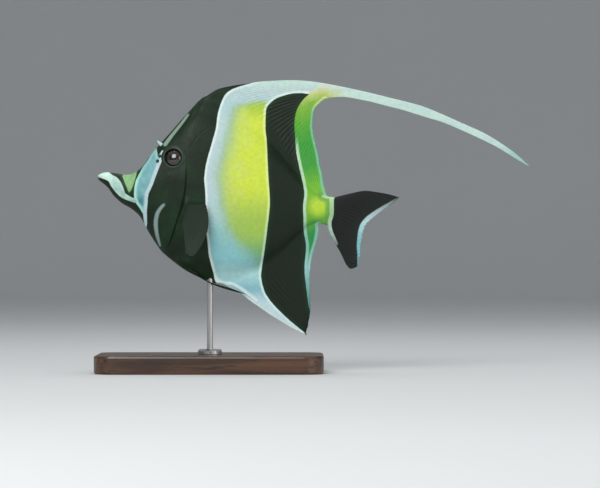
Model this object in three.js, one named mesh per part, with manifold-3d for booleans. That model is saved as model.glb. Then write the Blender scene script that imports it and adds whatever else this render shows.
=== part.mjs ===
// Moorish idol, a life-size still model on a plain display stand. Millimetres, +Z up, head toward -X.
// Outlines lie in the fish's middle plane: x from the stand's rod, z from the middle of the body's height.
import * as THREE from 'three';
import { mergeVertices } from 'three/addons/utils/BufferGeometryUtils.js';
import Module from 'manifold-3d';

const wasm = await Module();
wasm.setup();

// Space left between two nodes that meet.
const GAP = 0.3;

// Stand.
const BASE_LENGTH = 150;
const BASE_WIDTH = 84;
const BASE_HEIGHT = 12;
const BASE_CORNER = 12;
const BASE_BEVEL = 1.5;
const COLLAR_DIAMETER = 16;
const COLLAR_HEIGHT = 3;
const COLLAR_CHAMFER = 1;
const ROD_DIAMETER = 4;
const ROD_IN_BASE = 8;
const ROD_IN_BODY = 14;

// Height of the body's middle over the floor: the anal fin's tip clears the base by about as much as its thickness.
const BODY_HEIGHT = 117;
const BELLY_OVER_ROD = -57;

// Body outline as paired stations, from the mouth to the root of the tail fin.
const BACK = [
  [-74, 13], [-69.5, 15], [-62.5, 14.5], [-57, 13.5], [-51.5, 14], [-45.5, 18],
  [-37.5, 28.5], [-26.5, 41], [-14.5, 54.5], [-3.5, 65], [7.5, 64], [20, 57],
  [34.5, 44.5], [48, 29], [60, 13], [67.5, 4.5], [74.5, 0], [82, -1.5],
];
const BELLY = [
  [-74, 11], [-71.5, 8.5], [-67.5, 5], [-63.5, -0.5], [-58, -5.5], [-52, -9],
  [-46, -14.5], [-40.5, -24.5], [-35, -33], [-29.5, -39.5], [-13, -51.5], [8, -59],
  [26.5, -54.5], [44, -42], [58, -28], [65, -21.5], [71.5, -19], [77.5, -20],
];
const HALF_WIDTHS = [2.4, 3.4, 4.2, 5, 6.2, 7.8, 9.4, 11.2, 12.8, 13.8, 14.2, 13.4, 11.6, 9.2, 6.8, 5.4, 4.4, 3.4];
const LAST_STATION = BACK.length - 1;

// The gill opening, from throat to nape, is the line between head and trunk.
const GILL_STATION = 9;
const GILL = [
  [-29.5, -39.5], [-27, -33], [-23.5, -22.5], [-19.5, -10], [-16.5, 2],
  [-15.5, 15], [-14, 29.5], [-11, 46], [-3.5, 65],
];
const GILL_BEND_REACH = 3.2;
const SNOUT_STATION = 3.4;
const TAIL_STATION = 15.4;
const PARTING = 0.015;

// Cross-sections: an ellipse's exponent at the snout and at the trunk, and the stations between which it changes.
const ROUNDNESS = [0.5, 0.62];
const ROUNDNESS_STATIONS = [2, 8];
const THINNEST = 0.1;

// Half the thickness of the body's rim: thin where it closes, wider where a fin grows from it.
const CLOSED_RIM = 0.3;
const RIM_OPENS_BEFORE = 0.6;
const RIM_CLOSES_AFTER = 0.4;
const DORSAL_FROM = 9.12;
const DORSAL_TO = 16.4;
const DORSAL_RIM = [1.7, 1];
const ANAL_FROM = 11;
const ANAL_TO = 15.95;
const ANAL_RIM = [1.7, 1];

// Lips swell the last millimetres of the snout.
const LIP_STATIONS = 0.55;
const LIP_SWELL = 0.3;

// Fin margins.
const DORSAL_TOP = [
  [-3, 65.5], [4, 70], [12, 72], [20.5, 73.5], [32.5, 75.5], [43, 76], [54, 76.5], [65.5, 75.5], [76.5, 74],
];
const STREAMER_ROOT = [[76.5, 74], [76, 63.5]];
const DORSAL_REAR = [
  [76, 63.5], [72.5, 60.5], [69.5, 57], [68.5, 52], [68, 46], [68.5, 40.5],
  [70, 33.5], [71.5, 27], [72.5, 20.5], [74, 14], [75, 6.5], [77, -0.5],
];
const STREAMER_UPPER = [
  [76.5, 74], [87, 72], [99.5, 69.5], [111, 66.5], [121, 64], [132, 61], [141, 58.5],
  [153.5, 53.5], [165, 48], [176.5, 43], [186, 37.5], [193.5, 32.5], [201.5, 27], [211, 19],
];
const STREAMER_LOWER = [
  [76, 63.5], [82.5, 64.5], [90.5, 64.5], [98.5, 63], [106, 61.5], [117.5, 58.5], [127.5, 56],
  [143.5, 51], [153.5, 48], [166.5, 42.5], [178.5, 37], [189.5, 31.5], [200, 25], [211, 18.4],
];
const STREAMER_SPLIT = 0.5;
const STREAMER_STEPS = 12;
const STREAMER_EDGE = 0.7;
const ANAL_FRONT = [
  [8, -59], [14.5, -62], [20.5, -65], [26.5, -69.5], [32.5, -73.5],
  [39.5, -78.5], [47.5, -84], [56, -89], [63.5, -92.5],
];
const ANAL_REAR = [
  [63.5, -92.5], [65.5, -84], [66.5, -74.5], [66, -63.5], [66, -53],
  [67, -44], [68.5, -37], [70.5, -30.5], [71.5, -24.5], [71.5, -19.5],
];
const CAUDAL_UPPER = [[82, -1.5], [90, 0.5], [96.5, 2], [103, 3], [111.5, 2], [119.5, 0.5], [126, -1.5]];
const CAUDAL_REAR = [
  [126, -1.5], [118.5, -7.5], [111, -13], [105.5, -17.5], [102.5, -21.5],
  [101, -27], [100, -33.5], [99.5, -40.5], [98, -47.5],
];
const CAUDAL_LOWER = [
  [77.5, -20], [79.5, -26.5], [82.5, -32], [85.5, -37], [88, -42], [90.5, -47], [93.5, -49.5], [98, -47.5],
];

// Rays in each fin, and how far a ray's ridge stands out of the membrane on either side.
const DORSAL_RAYS = 7;
const DORSAL_REAR_RAYS = 13;
const ANAL_RAYS = 17;
const CAUDAL_RAYS = 14;
const PECTORAL_RAYS = 9;
const PELVIC_RAYS = 6;
const RAY_RIDGE = 0.25;
const MEMBRANE_HALF = 0.3;
const STREAMER_HALF = 0.6;

// A fin's steps crowd towards its root, and its first edge is thinner than the rays behind it.
const ROOT_CROWDING = 1.3;
const LEADING_EDGE = 0.8;
const MEDIAN_RIDGE_RISE = [0.02, 0.3];
const PAIRED_RIDGE_RISE = [0.1, 0.4];
const PAIRED_FIN_STEPS = 6;

// Share of the dorsal fin's rays that run into the streamer, and how the rays lean towards each fin's tip.
const STREAMER_SHARE = 0.37;
const DORSAL_SWEEP = 2;
const ANAL_SWEEP = 1.8;

// Pectoral fin: its root on the trunk behind the gill opening, from the top down, and its tips.
const PECTORAL_ROOT = [[-15, -5.5], [-18, -14]];
const PECTORAL_TIPS = [[-2, -6.5], [-0.3, -15], [-1.2, -25], [-5, -34.5], [-10.5, -41], [-15.5, -39]];
const PECTORAL_FLARE = 0.38;
const PECTORAL_TURN = 1.4;
const PECTORAL_TURN_REACH = 1.5;
const PECTORAL_ROOT_HALF = 0.9;
const PECTORAL_SINK = 1;

// Pelvic fin: a narrow blade folded back under the belly.
const PELVIC_ROOT = [[-19.5, -43], [-15, -44.5]];
const PELVIC_TIPS = [[7, -64.5], [17, -66], [23, -65], [17, -61], [10, -58]];
const PELVIC_SPREAD = 2.2;
const PELVIC_SPREAD_TURN = 2.5;
const PELVIC_SAG = [3.2, 0.6];
const PELVIC_ROOT_HALF = 1;
const PELVIC_SINK = 1.2;

// Head.
const EYE = [-24, 24.5];
const EYE_RADIUS = 7;
const EYE_DEPTH = 4;
const EYE_PROUD = 1.6;
const NOSTRILS = [[-32.8, 25.4], [-34.2, 22.2]];
const NOSTRIL_RADIUS = 0.8;
const HORN_ROOT = [-30.6, 32];
const HORN_SIDE = 3.4;
const HORN_RADIUS = 1.5;
const HORN_LENGTH = 6;
const HORN_DIRECTION = [-0.78, -0.3, 0.55];
const MOUTH_CORNER = [-70.6, 10.7];
const MOUTH_FRONT = [-78.6, 13.4];
const JAW_HINGE = [-67, 4];
const CHIN_CUT = [[-69, -2], [-80.6, 2.7]];
const COVER_FRONT = [[-9, 17.5], [-19.5, 17], [-27, 9], [-32, -4], [-33.5, -17], [-30.5, -28.5], [-22, -34]];
const COVER_FROM_STATION = 7.2;
const COVER_RAISE = 0.8;
const COVER_DEPTH = 1.3;
const COVER_STEPS = 18;

// Grid sizes, columns by rows, and how far cutting shapes reach past what they cut.
const HEAD_GRID = [24, 18];
const SNOUT_GRID = [14, 12];
const COVER_GRID = [20, 18];
const CORE_GRID = [14, 14];
const TRUNK_GRID = [22, 18];
const TAIL_GRID = [8, 12];
const TRIM_GRID = [40, 24];
const TRIM_STATIONS = [5, 15];
const PAST = 5;
const ACROSS = 40;
const UNDER_BELLY = -80;

const curve = (points) => new THREE.SplineCurve(points.map(([x, z]) => new THREE.Vector2(x, z)));
const mix = THREE.MathUtils.lerp;
const ease = THREE.MathUtils.smoothstep;
const backLine = curve(BACK);
const bellyLine = curve(BELLY);
const gillLine = curve(GILL);
const widthLine = curve(HALF_WIDTHS.map((width, station) => [station, width]));
const stationPoint = (line, station) => line.getPoint(station / LAST_STATION);

// Half thickness of the rim at a station, where a fin grows between two stations.
function rimHalf(station, from, to, ends) {
  const opened = ease(station, from - RIM_OPENS_BEFORE, from);
  const closed = ease(station, to, to + RIM_CLOSES_AFTER);
  const along = THREE.MathUtils.clamp((station - from) / (to - from), 0, 1);
  return mix(CLOSED_RIM, mix(...ends, along), opened * (1 - closed));
}

const backRim = (station) => rimHalf(station, DORSAL_FROM, DORSAL_TO, DORSAL_RIM);
const bellyRim = (station) => rimHalf(station, ANAL_FROM, ANAL_TO, ANAL_RIM);

// A place on the skin: share runs from belly (0) to back (1) along the station's column.
function skinPoint(station, share) {
  const low = stationPoint(bellyLine, station);
  const high = stationPoint(backLine, station);
  const middle = low.clone().lerp(high, 0.5);
  const point = low.clone().lerp(high, share);
  const bend = Math.exp(-(((station - GILL_STATION) / GILL_BEND_REACH) ** 2));
  const straight = gillLine.getPoint(0).lerp(gillLine.getPoint(1), share);
  point.addScaledVector(gillLine.getPointAt(share).sub(straight), bend);
  const lip = LIP_SWELL * Math.sin(Math.PI * THREE.MathUtils.clamp(station / LIP_STATIONS, 0, 1));
  point.addScaledVector(point.clone().sub(middle), lip);
  const rim = share > 0.5 ? backRim(station) : bellyRim(station);
  const width = widthLine.getPoint(station / LAST_STATION).y * (1 + lip);
  const roundness = mix(...ROUNDNESS, ease(station, ...ROUNDNESS_STATIONS));
  const half = rim + (width - rim) * (1 - (2 * share - 1) ** 2) ** roundness;
  return { x: point.x, z: point.y, half };
}

// Half width of the body at a place in the middle plane: steps from the gill opening in the skin's own coordinates.
function halfWidthAt(x, z) {
  const step = 0.01;
  const turns = 30;
  let station = GILL_STATION - 1;
  let share = 0.5;
  for (let turn = 0; turn < turns; turn++) {
    const here = skinPoint(station, share);
    const ahead = skinPoint(station + step, share);
    const above = skinPoint(station, share + step);
    const a = (ahead.x - here.x) / step;
    const b = (above.x - here.x) / step;
    const c = (ahead.z - here.z) / step;
    const d = (above.z - here.z) / step;
    const det = a * d - b * c;
    const dx = x - here.x;
    const dz = z - here.z;
    station = THREE.MathUtils.clamp(station + (d * dx - b * dz) / det, step, LAST_STATION - step);
    share = THREE.MathUtils.clamp(share + (a * dz - c * dx) / det, step, 1 - 2 * step);
  }
  return skinPoint(station, share).half;
}

// A closed body round a grid of middle places, each with its half thickness along a unit normal.
function slab(grid) {
  const rows = grid.length;
  const columns = grid[0].length;
  const positions = [];
  for (const side of [-1, 1]) {
    for (const row of grid) {
      for (const { x, y = 0, z, half, normal = [0, 1, 0] } of row) {
        positions.push(x + normal[0] * half * side, y + normal[1] * half * side, z + normal[2] * half * side);
      }
    }
  }
  const far = rows * columns;
  const index = [];
  const quad = (a, b, c, d) => index.push(a, b, c, a, c, d);
  for (let i = 0; i < rows - 1; i++) {
    for (let j = 0; j < columns - 1; j++) {
      const a = i * columns + j;
      quad(a, a + 1, a + columns + 1, a + columns);
      index.push(far + a, far + a + columns + 1, far + a + 1, far + a, far + a + columns, far + a + columns + 1);
    }
  }
  const edge = [];
  for (let j = 0; j < columns - 1; j++) edge.push(j);
  for (let i = 0; i < rows - 1; i++) edge.push(i * columns + columns - 1);
  for (let j = columns - 1; j > 0; j--) edge.push((rows - 1) * columns + j);
  for (let i = rows - 1; i > 0; i--) edge.push(i * columns);
  edge.forEach((a, k) => {
    const b = edge[(k + 1) % edge.length];
    quad(b, a, far + a, far + b);
  });
  const geometry = new THREE.BufferGeometry();
  geometry.setAttribute('position', new THREE.Float32BufferAttribute(positions, 3));
  geometry.setIndex(index);
  return facingOut(geometry);
}

// Turns every triangle over if the volume they enclose comes out negative.
function facingOut(geometry) {
  const p = geometry.attributes.position;
  const index = geometry.index.array;
  const [a, b, c] = [new THREE.Vector3(), new THREE.Vector3(), new THREE.Vector3()];
  let volume = 0;
  for (let k = 0; k < index.length; k += 3) {
    a.fromBufferAttribute(p, index[k]);
    b.fromBufferAttribute(p, index[k + 1]);
    c.fromBufferAttribute(p, index[k + 2]);
    volume += a.dot(b.cross(c));
  }
  if (volume < 0) {
    for (let k = 0; k < index.length; k += 3) [index[k + 1], index[k + 2]] = [index[k + 2], index[k + 1]];
  }
  return geometry;
}

// Body between two stations, its half width changed by grow at each station.
function bodySlab(from, to, [columns, rows], grow = () => 0) {
  const grid = [];
  for (let i = 0; i <= columns; i++) {
    const station = mix(from, to, i / columns);
    const row = [];
    for (let j = 0; j <= rows; j++) {
      const point = skinPoint(station, (1 - Math.cos((Math.PI * j) / rows)) / 2);
      row.push({ ...point, half: Math.max(THINNEST, point.half + grow(station)) });
    }
    grid.push(row);
  }
  return slab(grid);
}

// The body's surface moved out along its own normals, to cut what grows from it.
function swollenBody(grow) {
  const geometry = bodySlab(...TRIM_STATIONS, TRIM_GRID);
  geometry.computeVertexNormals();
  const p = geometry.attributes.position;
  const n = geometry.attributes.normal;
  for (let k = 0; k < p.count; k++) {
    p.setXYZ(k, p.getX(k) + grow * n.getX(k), p.getY(k) + grow * n.getY(k), p.getZ(k) + grow * n.getZ(k));
  }
  geometry.deleteAttribute('normal');
  return geometry;
}

// Solids for cutting and joining.
function solid(geometry) {
  const plain = geometry.clone();
  for (const name of Object.keys(plain.attributes)) if (name !== 'position') plain.deleteAttribute(name);
  const merged = mergeVertices(plain, 1e-4);
  const triangles = [];
  const index = merged.index.array;
  for (let k = 0; k < index.length; k += 3) {
    const [a, b, c] = [index[k], index[k + 1], index[k + 2]];
    if (a !== b && b !== c && c !== a) triangles.push(a, b, c);
  }
  return new wasm.Manifold(new wasm.Mesh({
    numProp: 3,
    vertProperties: new Float32Array(merged.attributes.position.array),
    triVerts: new Uint32Array(triangles),
  }));
}

// Largest closed surface of a solid, as a geometry.
function surface(shape) {
  const largest = shape.decompose().sort((a, b) => b.volume() - a.volume())[0];
  const mesh = largest.getMesh();
  const geometry = new THREE.BufferGeometry();
  geometry.setAttribute('position', new THREE.Float32BufferAttribute(mesh.vertProperties, 3));
  geometry.setIndex(Array.from(mesh.triVerts));
  return geometry;
}

function mirrored(geometry) {
  const twin = geometry.clone();
  twin.scale(1, -1, 1);
  return facingOut(twin);
}

// Upright prism over an outline in the middle plane, reaching from one y to another.
function prism(points, from, to) {
  const shape = new THREE.Shape(points.map(([x, z]) => new THREE.Vector2(x, z)));
  const geometry = new THREE.ExtrudeGeometry(shape, { depth: to - from, bevelEnabled: false });
  geometry.rotateX(Math.PI / 2);
  geometry.translate(0, to, 0);
  return geometry;
}

// Lower jaw's outline, cut from the snout along the line of the mouth; grow moves the cut outward.
function jawOutline(grow) {
  return [
    [MOUTH_FRONT[0], MOUTH_FRONT[1] + grow],
    [MOUTH_CORNER[0] + grow, MOUTH_CORNER[1] + grow / 2],
    [JAW_HINGE[0] + grow, JAW_HINGE[1] - grow],
    ...CHIN_CUT,
  ];
}

// Gill cover's outline: its front edge moved outward by grow, closed behind the gill opening.
function coverOutline(grow) {
  const front = curve(COVER_FRONT);
  const points = [];
  for (let k = 0; k <= COVER_STEPS; k++) {
    const point = front.getPointAt(k / COVER_STEPS);
    const tangent = front.getTangentAt(k / COVER_STEPS);
    points.push([point.x + tangent.y * grow, point.y - tangent.x * grow]);
  }
  return points;
}

// Offset of a curve from its own chord at a share of its length, as parts of the chord's length.
function sway(line, share) {
  const start = line.getPoint(0);
  const chord = line.getPoint(1).sub(start);
  const offset = line.getPointAt(share).sub(start).addScaledVector(chord, -share);
  const length = chord.lengthSq();
  return new THREE.Vector2(offset.dot(chord) / length, (chord.x * offset.y - chord.y * offset.x) / length);
}

// Grid of a median fin: a ray from each root place to its tip, bent like the first ray and, further on, the last.
function finGrid({ shares, steps, root, tip, first, last = first, outward, rootHalf, tipHalf }) {
  return shares.map((share, ray) => {
    const start = root(share);
    const chord = tip(share).sub(start);
    const across = new THREE.Vector2(-chord.y, chord.x);
    const row = [];
    for (let j = 0; j <= steps; j++) {
      const along = (j / steps) ** ROOT_CROWDING;
      const bend = sway(first, along).lerp(sway(last, along), share);
      const point = start.clone().addScaledVector(chord, along + bend.x).addScaledVector(across, bend.y);
      point.addScaledVector(outward(share), GAP * (1 - along));
      const thin = 1 - (1 - along) ** 3;
      const ridge = ray % 2 ? RAY_RIDGE * ease(along, ...MEDIAN_RIDGE_RISE) : 0;
      const half = (mix(rootHalf(share), tipHalf(share), thin) + ridge) * (share === 0 ? LEADING_EDGE : 1);
      row.push({ x: point.x, z: point.y, half });
    }
    return row;
  });
}

// Even shares from one value to another, two for each ray so that ridge and membrane alternate.
function rayShares(from, to, rays) {
  return Array.from({ length: rays * 2 + 1 }, (_, k) => mix(from, to, k / (rays * 2)));
}

// Direction out of the body at a station of its rim.
function rimOutward(line, station, sign) {
  const tangent = line.getTangent(station / LAST_STATION);
  return new THREE.Vector2(-tangent.y, tangent.x).multiplyScalar(sign);
}

function dorsalFin() {
  const station = (share) => mix(DORSAL_FROM, DORSAL_TO, share);
  const root = curve(STREAMER_ROOT);
  const rear = curve(DORSAL_REAR);
  const front = rayShares(0, STREAMER_SHARE, DORSAL_RAYS);
  const behind = rayShares(STREAMER_SHARE, 1, DORSAL_REAR_RAYS).slice(1);
  const tip = (share) => {
    if (share <= STREAMER_SHARE) return root.getPoint((share / STREAMER_SHARE) ** DORSAL_SWEEP);
    const from = STREAMER_SHARE ** DORSAL_SWEEP;
    return rear.getPointAt((share ** DORSAL_SWEEP - from) / (1 - from));
  };
  return slab(finGrid({
    shares: [...front, ...behind],
    steps: 10,
    root: (share) => stationPoint(backLine, station(share)),
    tip,
    first: curve(DORSAL_TOP),
    outward: (share) => rimOutward(backLine, station(share), 1),
    rootHalf: (share) => backRim(station(share)),
    tipHalf: (share) => mix(STREAMER_HALF, MEMBRANE_HALF, ease(share, STREAMER_SHARE, STREAMER_SHARE + 0.1)),
  }));
}

// Length of the streamer between two shares, from its upper to its lower edge, a gap behind what it follows.
function streamer(from, to) {
  const upper = curve(STREAMER_UPPER);
  const lower = curve(STREAMER_LOWER);
  const gap = GAP / upper.getLength();
  const grid = [];
  for (let i = 0; i <= STREAMER_STEPS; i++) {
    const share = mix(from + gap, to, i / STREAMER_STEPS);
    const high = upper.getPointAt(share);
    const low = lower.getPointAt(share);
    const half = mix(STREAMER_HALF, MEMBRANE_HALF, share);
    const row = [0, 0.25, 0.5, 0.75, 1].map((down) => {
      const point = high.clone().lerp(low, down);
      return { x: point.x, z: point.y, half: half * (down % 1 ? 1 : STREAMER_EDGE) };
    });
    grid.push(row);
  }
  return slab(grid);
}

function analFin() {
  const station = (share) => mix(ANAL_FROM, ANAL_TO, share);
  const rear = curve(ANAL_REAR);
  return slab(finGrid({
    shares: rayShares(0, 1, ANAL_RAYS),
    steps: 9,
    root: (share) => stationPoint(bellyLine, station(share)),
    tip: (share) => rear.getPointAt(share ** ANAL_SWEEP),
    first: curve(ANAL_FRONT),
    outward: (share) => rimOutward(bellyLine, station(share), -1),
    rootHalf: (share) => bellyRim(station(share)),
    tipHalf: () => MEMBRANE_HALF,
  }));
}

function caudalFin() {
  const rear = curve(CAUDAL_REAR);
  const top = stationPoint(backLine, LAST_STATION);
  const bottom = stationPoint(bellyLine, LAST_STATION);
  const backward = new THREE.Vector2(top.y - bottom.y, bottom.x - top.x).normalize();
  return slab(finGrid({
    shares: rayShares(0, 1, CAUDAL_RAYS),
    steps: 9,
    root: (share) => top.clone().lerp(bottom, share),
    tip: (share) => rear.getPointAt(share),
    first: curve(CAUDAL_UPPER),
    last: curve(CAUDAL_LOWER),
    outward: () => backward,
    rootHalf: (share) => skinPoint(LAST_STATION, 1 - share).half,
    tipHalf: () => MEMBRANE_HALF,
  }));
}

// Gives each place of a fin that stands off the middle plane its own normal.
function withNormals(grid) {
  const place = (i, j) => {
    const row = grid[THREE.MathUtils.clamp(i, 0, grid.length - 1)];
    const { x, y, z } = row[THREE.MathUtils.clamp(j, 0, row.length - 1)];
    return new THREE.Vector3(x, y, z);
  };
  return grid.map((row, i) => row.map((cell, j) => {
    const along = place(i + 1, j).sub(place(i - 1, j));
    const across = place(i, j + 1).sub(place(i, j - 1));
    return { ...cell, normal: along.cross(across).normalize().toArray() };
  }));
}

// A left paired fin: rays from root to tips, each place set off the skin beside the root by out and dropped by sag.
function pairedFin({ root, tips, rays, rootHalf, out, sag = () => 0 }) {
  const margin = curve(tips);
  const [first, last] = root.map(([x, z]) => new THREE.Vector2(x, z));
  const grid = rayShares(0, 1, rays).map((share, ray) => {
    const start = first.clone().lerp(last, share);
    const end = margin.getPointAt(share);
    const skin = halfWidthAt(start.x, start.y);
    const row = [];
    for (let j = 0; j <= PAIRED_FIN_STEPS; j++) {
      const along = j / PAIRED_FIN_STEPS;
      const point = start.clone().lerp(end, along);
      const ridge = ray % 2 ? RAY_RIDGE * ease(along, ...PAIRED_RIDGE_RISE) : 0;
      row.push({
        x: point.x,
        y: -(skin + out(along, start.distanceTo(point))),
        z: point.y - sag(along, share),
        half: mix(rootHalf, MEMBRANE_HALF, along) + ridge,
      });
    }
    return row;
  });
  return slab(withNormals(grid));
}

// Left pectoral fin: a fan that leaves the trunk with a short turn and then stands out at a steady slope.
function pectoralFin() {
  return pairedFin({
    root: PECTORAL_ROOT,
    tips: PECTORAL_TIPS,
    rays: PECTORAL_RAYS,
    rootHalf: PECTORAL_ROOT_HALF,
    out: (along, distance) => (
      PECTORAL_TURN * (1 - Math.exp(-distance / PECTORAL_TURN_REACH)) + PECTORAL_FLARE * distance - PECTORAL_SINK
    ),
  });
}

// Left pelvic fin.
function pelvicFin() {
  return pairedFin({
    root: PELVIC_ROOT,
    tips: PELVIC_TIPS,
    rays: PELVIC_RAYS,
    rootHalf: PELVIC_ROOT_HALF,
    out: (along) => PELVIC_SPREAD * Math.sin(PELVIC_SPREAD_TURN * Math.min(1, along * 1.2)) - PELVIC_SINK,
    sag: (along, share) => mix(...PELVIC_SAG, share) * Math.sin(Math.PI * along),
  });
}

// Ball of the left eye, or the socket round it when grow is the gap.
function eyeball(grow) {
  const [x, z] = EYE;
  const ball = new THREE.SphereGeometry(1, 20, 12);
  ball.scale(EYE_RADIUS + grow, EYE_DEPTH + grow, EYE_RADIUS + grow);
  ball.translate(x, -(halfWidthAt(x, z) - EYE_DEPTH + EYE_PROUD), z);
  return ball;
}

// Left horn: a short spur over the front of the eye, pointing forward and up.
function horn() {
  const spur = new THREE.ConeGeometry(HORN_RADIUS, HORN_LENGTH, 10, 2);
  spur.translate(0, HORN_LENGTH / 2, 0);
  const direction = new THREE.Vector3(...HORN_DIRECTION).normalize();
  spur.applyQuaternion(new THREE.Quaternion().setFromUnitVectors(new THREE.Vector3(0, 1, 0), direction));
  spur.translate(HORN_ROOT[0], -HORN_SIDE, HORN_ROOT[1]);
  return spur;
}

function both(shape) {
  return solid(shape).add(solid(mirrored(shape)));
}

// What lies deeper in the head than a gill cover reaches.
function coverCore(depth) {
  return solid(bodySlab(SNOUT_STATION, GILL_STATION + 2, CORE_GRID, () => -depth));
}

function head() {
  let shape = solid(bodySlab(SNOUT_STATION + PARTING, GILL_STATION - PARTING, HEAD_GRID));
  shape = shape.subtract(both(eyeball(GAP)));
  for (const [x, z] of NOSTRILS) {
    const pit = new THREE.SphereGeometry(NOSTRIL_RADIUS, 10, 8);
    pit.translate(x, -halfWidthAt(x, z), z);
    shape = shape.subtract(both(pit));
  }
  const recess = solid(prism(coverOutline(GAP), -ACROSS, ACROSS)).subtract(coverCore(COVER_DEPTH + GAP));
  return surface(shape.subtract(recess));
}

// Left gill cover: rises from the cheek towards its rear edge.
function gillCover() {
  const raise = (station) => COVER_RAISE * ease(station, COVER_FROM_STATION, GILL_STATION);
  const outer = solid(bodySlab(SNOUT_STATION + 1, GILL_STATION - PARTING, COVER_GRID, raise));
  return surface(solid(prism(coverOutline(0), -ACROSS, 0)).intersect(outer).subtract(coverCore(COVER_DEPTH)));
}

const wholeSnout = () => solid(bodySlab(0, SNOUT_STATION - PARTING, SNOUT_GRID));

function snout() {
  return surface(wholeSnout().subtract(solid(prism(jawOutline(GAP), -ACROSS, ACROSS))));
}

function lowerJaw() {
  return surface(wholeSnout().intersect(solid(prism(jawOutline(0), -ACROSS, ACROSS))));
}

// Upright cylinder between two heights on the rod's axis.
function upright(diameter, from, to, sides = 24) {
  const cylinder = new THREE.CylinderGeometry(diameter / 2, diameter / 2, to - from, sides);
  cylinder.rotateX(Math.PI / 2);
  cylinder.translate(0, 0, (from + to) / 2);
  return cylinder;
}

// Height of the rod's top end, measured like the outlines.
const rodTop = BELLY_OVER_ROD + ROD_IN_BODY;

function trunk() {
  const shape = solid(bodySlab(GILL_STATION + PARTING, TAIL_STATION - PARTING, TRUNK_GRID));
  return surface(shape.subtract(solid(upright(ROD_DIAMETER + 2 * GAP, UNDER_BELLY, rodTop + GAP))));
}

// A piece cut clear of the body that it grows from.
function trimmed(shape) {
  return surface(solid(shape).subtract(solid(swollenBody(GAP))));
}

function standBase() {
  const [x, y] = [BASE_LENGTH / 2 - BASE_BEVEL, BASE_WIDTH / 2 - BASE_BEVEL];
  const r = BASE_CORNER;
  const plate = new THREE.Shape();
  plate.moveTo(-x + r, -y);
  plate.lineTo(x - r, -y);
  plate.absarc(x - r, -y + r, r, -Math.PI / 2, 0);
  plate.lineTo(x, y - r);
  plate.absarc(x - r, y - r, r, 0, Math.PI / 2);
  plate.lineTo(-x + r, y);
  plate.absarc(-x + r, y - r, r, Math.PI / 2, Math.PI);
  plate.lineTo(-x, -y + r);
  plate.absarc(-x + r, -y + r, r, Math.PI, 1.5 * Math.PI);
  const geometry = new THREE.ExtrudeGeometry(plate, {
    depth: BASE_HEIGHT - 2 * BASE_BEVEL,
    bevelThickness: BASE_BEVEL,
    bevelSize: BASE_BEVEL,
    bevelSegments: 2,
    curveSegments: 6,
  });
  geometry.translate(0, 0, BASE_BEVEL);
  const hole = upright(ROD_DIAMETER + 2 * GAP, BASE_HEIGHT - ROD_IN_BASE - GAP, BASE_HEIGHT + PAST);
  return surface(solid(geometry).subtract(solid(hole)));
}

// Collar round the rod: a low ring with its upper edge turned off.
function standCollar() {
  const radius = COLLAR_DIAMETER / 2;
  const low = BASE_HEIGHT + GAP;
  const high = low + COLLAR_HEIGHT;
  const profile = [
    [0, low], [radius, low], [radius, high - COLLAR_CHAMFER], [radius - COLLAR_CHAMFER, high], [0, high],
  ];
  const ring = new THREE.LatheGeometry(profile.map(([r, z]) => new THREE.Vector2(r, z)), 32);
  ring.rotateX(Math.PI / 2);
  const closed = facingOut(mergeVertices(ring.deleteAttribute('normal').deleteAttribute('uv')));
  return surface(solid(closed).subtract(solid(upright(ROD_DIAMETER + 2 * GAP, low - PAST, high + PAST))));
}

const BLACK = 0x2a2f24;
const WHITE = 0xbcd4c5;
const YELLOW = 0xcddc5e;
const WALNUT = 0x3b2417;
const STEEL = 0xb8b8b4;
const SKIN_ROUGHNESS = 0.55;
const FIN_ROUGHNESS = 0.6;
const EYE_ROUGHNESS = 0.15;
const HORN_ROUGHNESS = 0.5;
const WOOD_ROUGHNESS = 0.4;
const STEEL_ROUGHNESS = 0.3;

const group = new THREE.Group();
const fish = new THREE.Group();
fish.position.z = BODY_HEIGHT;
group.add(fish);

function put(parent, name, geometry, color, roughness = SKIN_ROUGHNESS, metalness = 0) {
  const mesh = new THREE.Mesh(geometry, new THREE.MeshStandardMaterial({ color, roughness, metalness }));
  mesh.name = name;
  parent.add(mesh);
}

// A left piece and its mirror image on the right.
function putPair(name, left, color, roughness) {
  put(fish, `${name}_left`, left, color, roughness);
  put(fish, `${name}_right`, mirrored(left), color, roughness);
}

put(fish, 'snout', snout(), WHITE);
put(fish, 'lower_jaw', lowerJaw(), BLACK);
put(fish, 'head', head(), BLACK);
putPair('gill_cover', gillCover(), BLACK);
put(fish, 'trunk', trunk(), YELLOW);
put(fish, 'tail_base', bodySlab(TAIL_STATION + PARTING, LAST_STATION, TAIL_GRID), YELLOW);
put(fish, 'dorsal_fin', dorsalFin(), WHITE);
put(fish, 'dorsal_streamer_base', streamer(0, STREAMER_SPLIT), WHITE);
put(fish, 'dorsal_streamer_tip', streamer(STREAMER_SPLIT, 1), WHITE);
put(fish, 'anal_fin', analFin(), BLACK);
put(fish, 'caudal_fin', caudalFin(), BLACK);
putPair('pectoral_fin', trimmed(pectoralFin()), BLACK, FIN_ROUGHNESS);
putPair('pelvic_fin', trimmed(pelvicFin()), BLACK, FIN_ROUGHNESS);
putPair('eye', surface(solid(eyeball(0))), BLACK, EYE_ROUGHNESS);
putPair('horn', trimmed(horn()), WHITE, HORN_ROUGHNESS);
put(group, 'stand_base', standBase(), WALNUT, WOOD_ROUGHNESS);
put(group, 'stand_collar', standCollar(), STEEL, STEEL_ROUGHNESS, 1);
const rod = surface(solid(upright(ROD_DIAMETER, BASE_HEIGHT - ROD_IN_BASE, BODY_HEIGHT + rodTop)));
put(group, 'stand_rod', rod, STEEL, STEEL_ROUGHNESS, 1);

export default group;
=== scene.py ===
import math

import bpy
import numpy as np
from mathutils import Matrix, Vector
from mathutils.kdtree import KDTree


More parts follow.
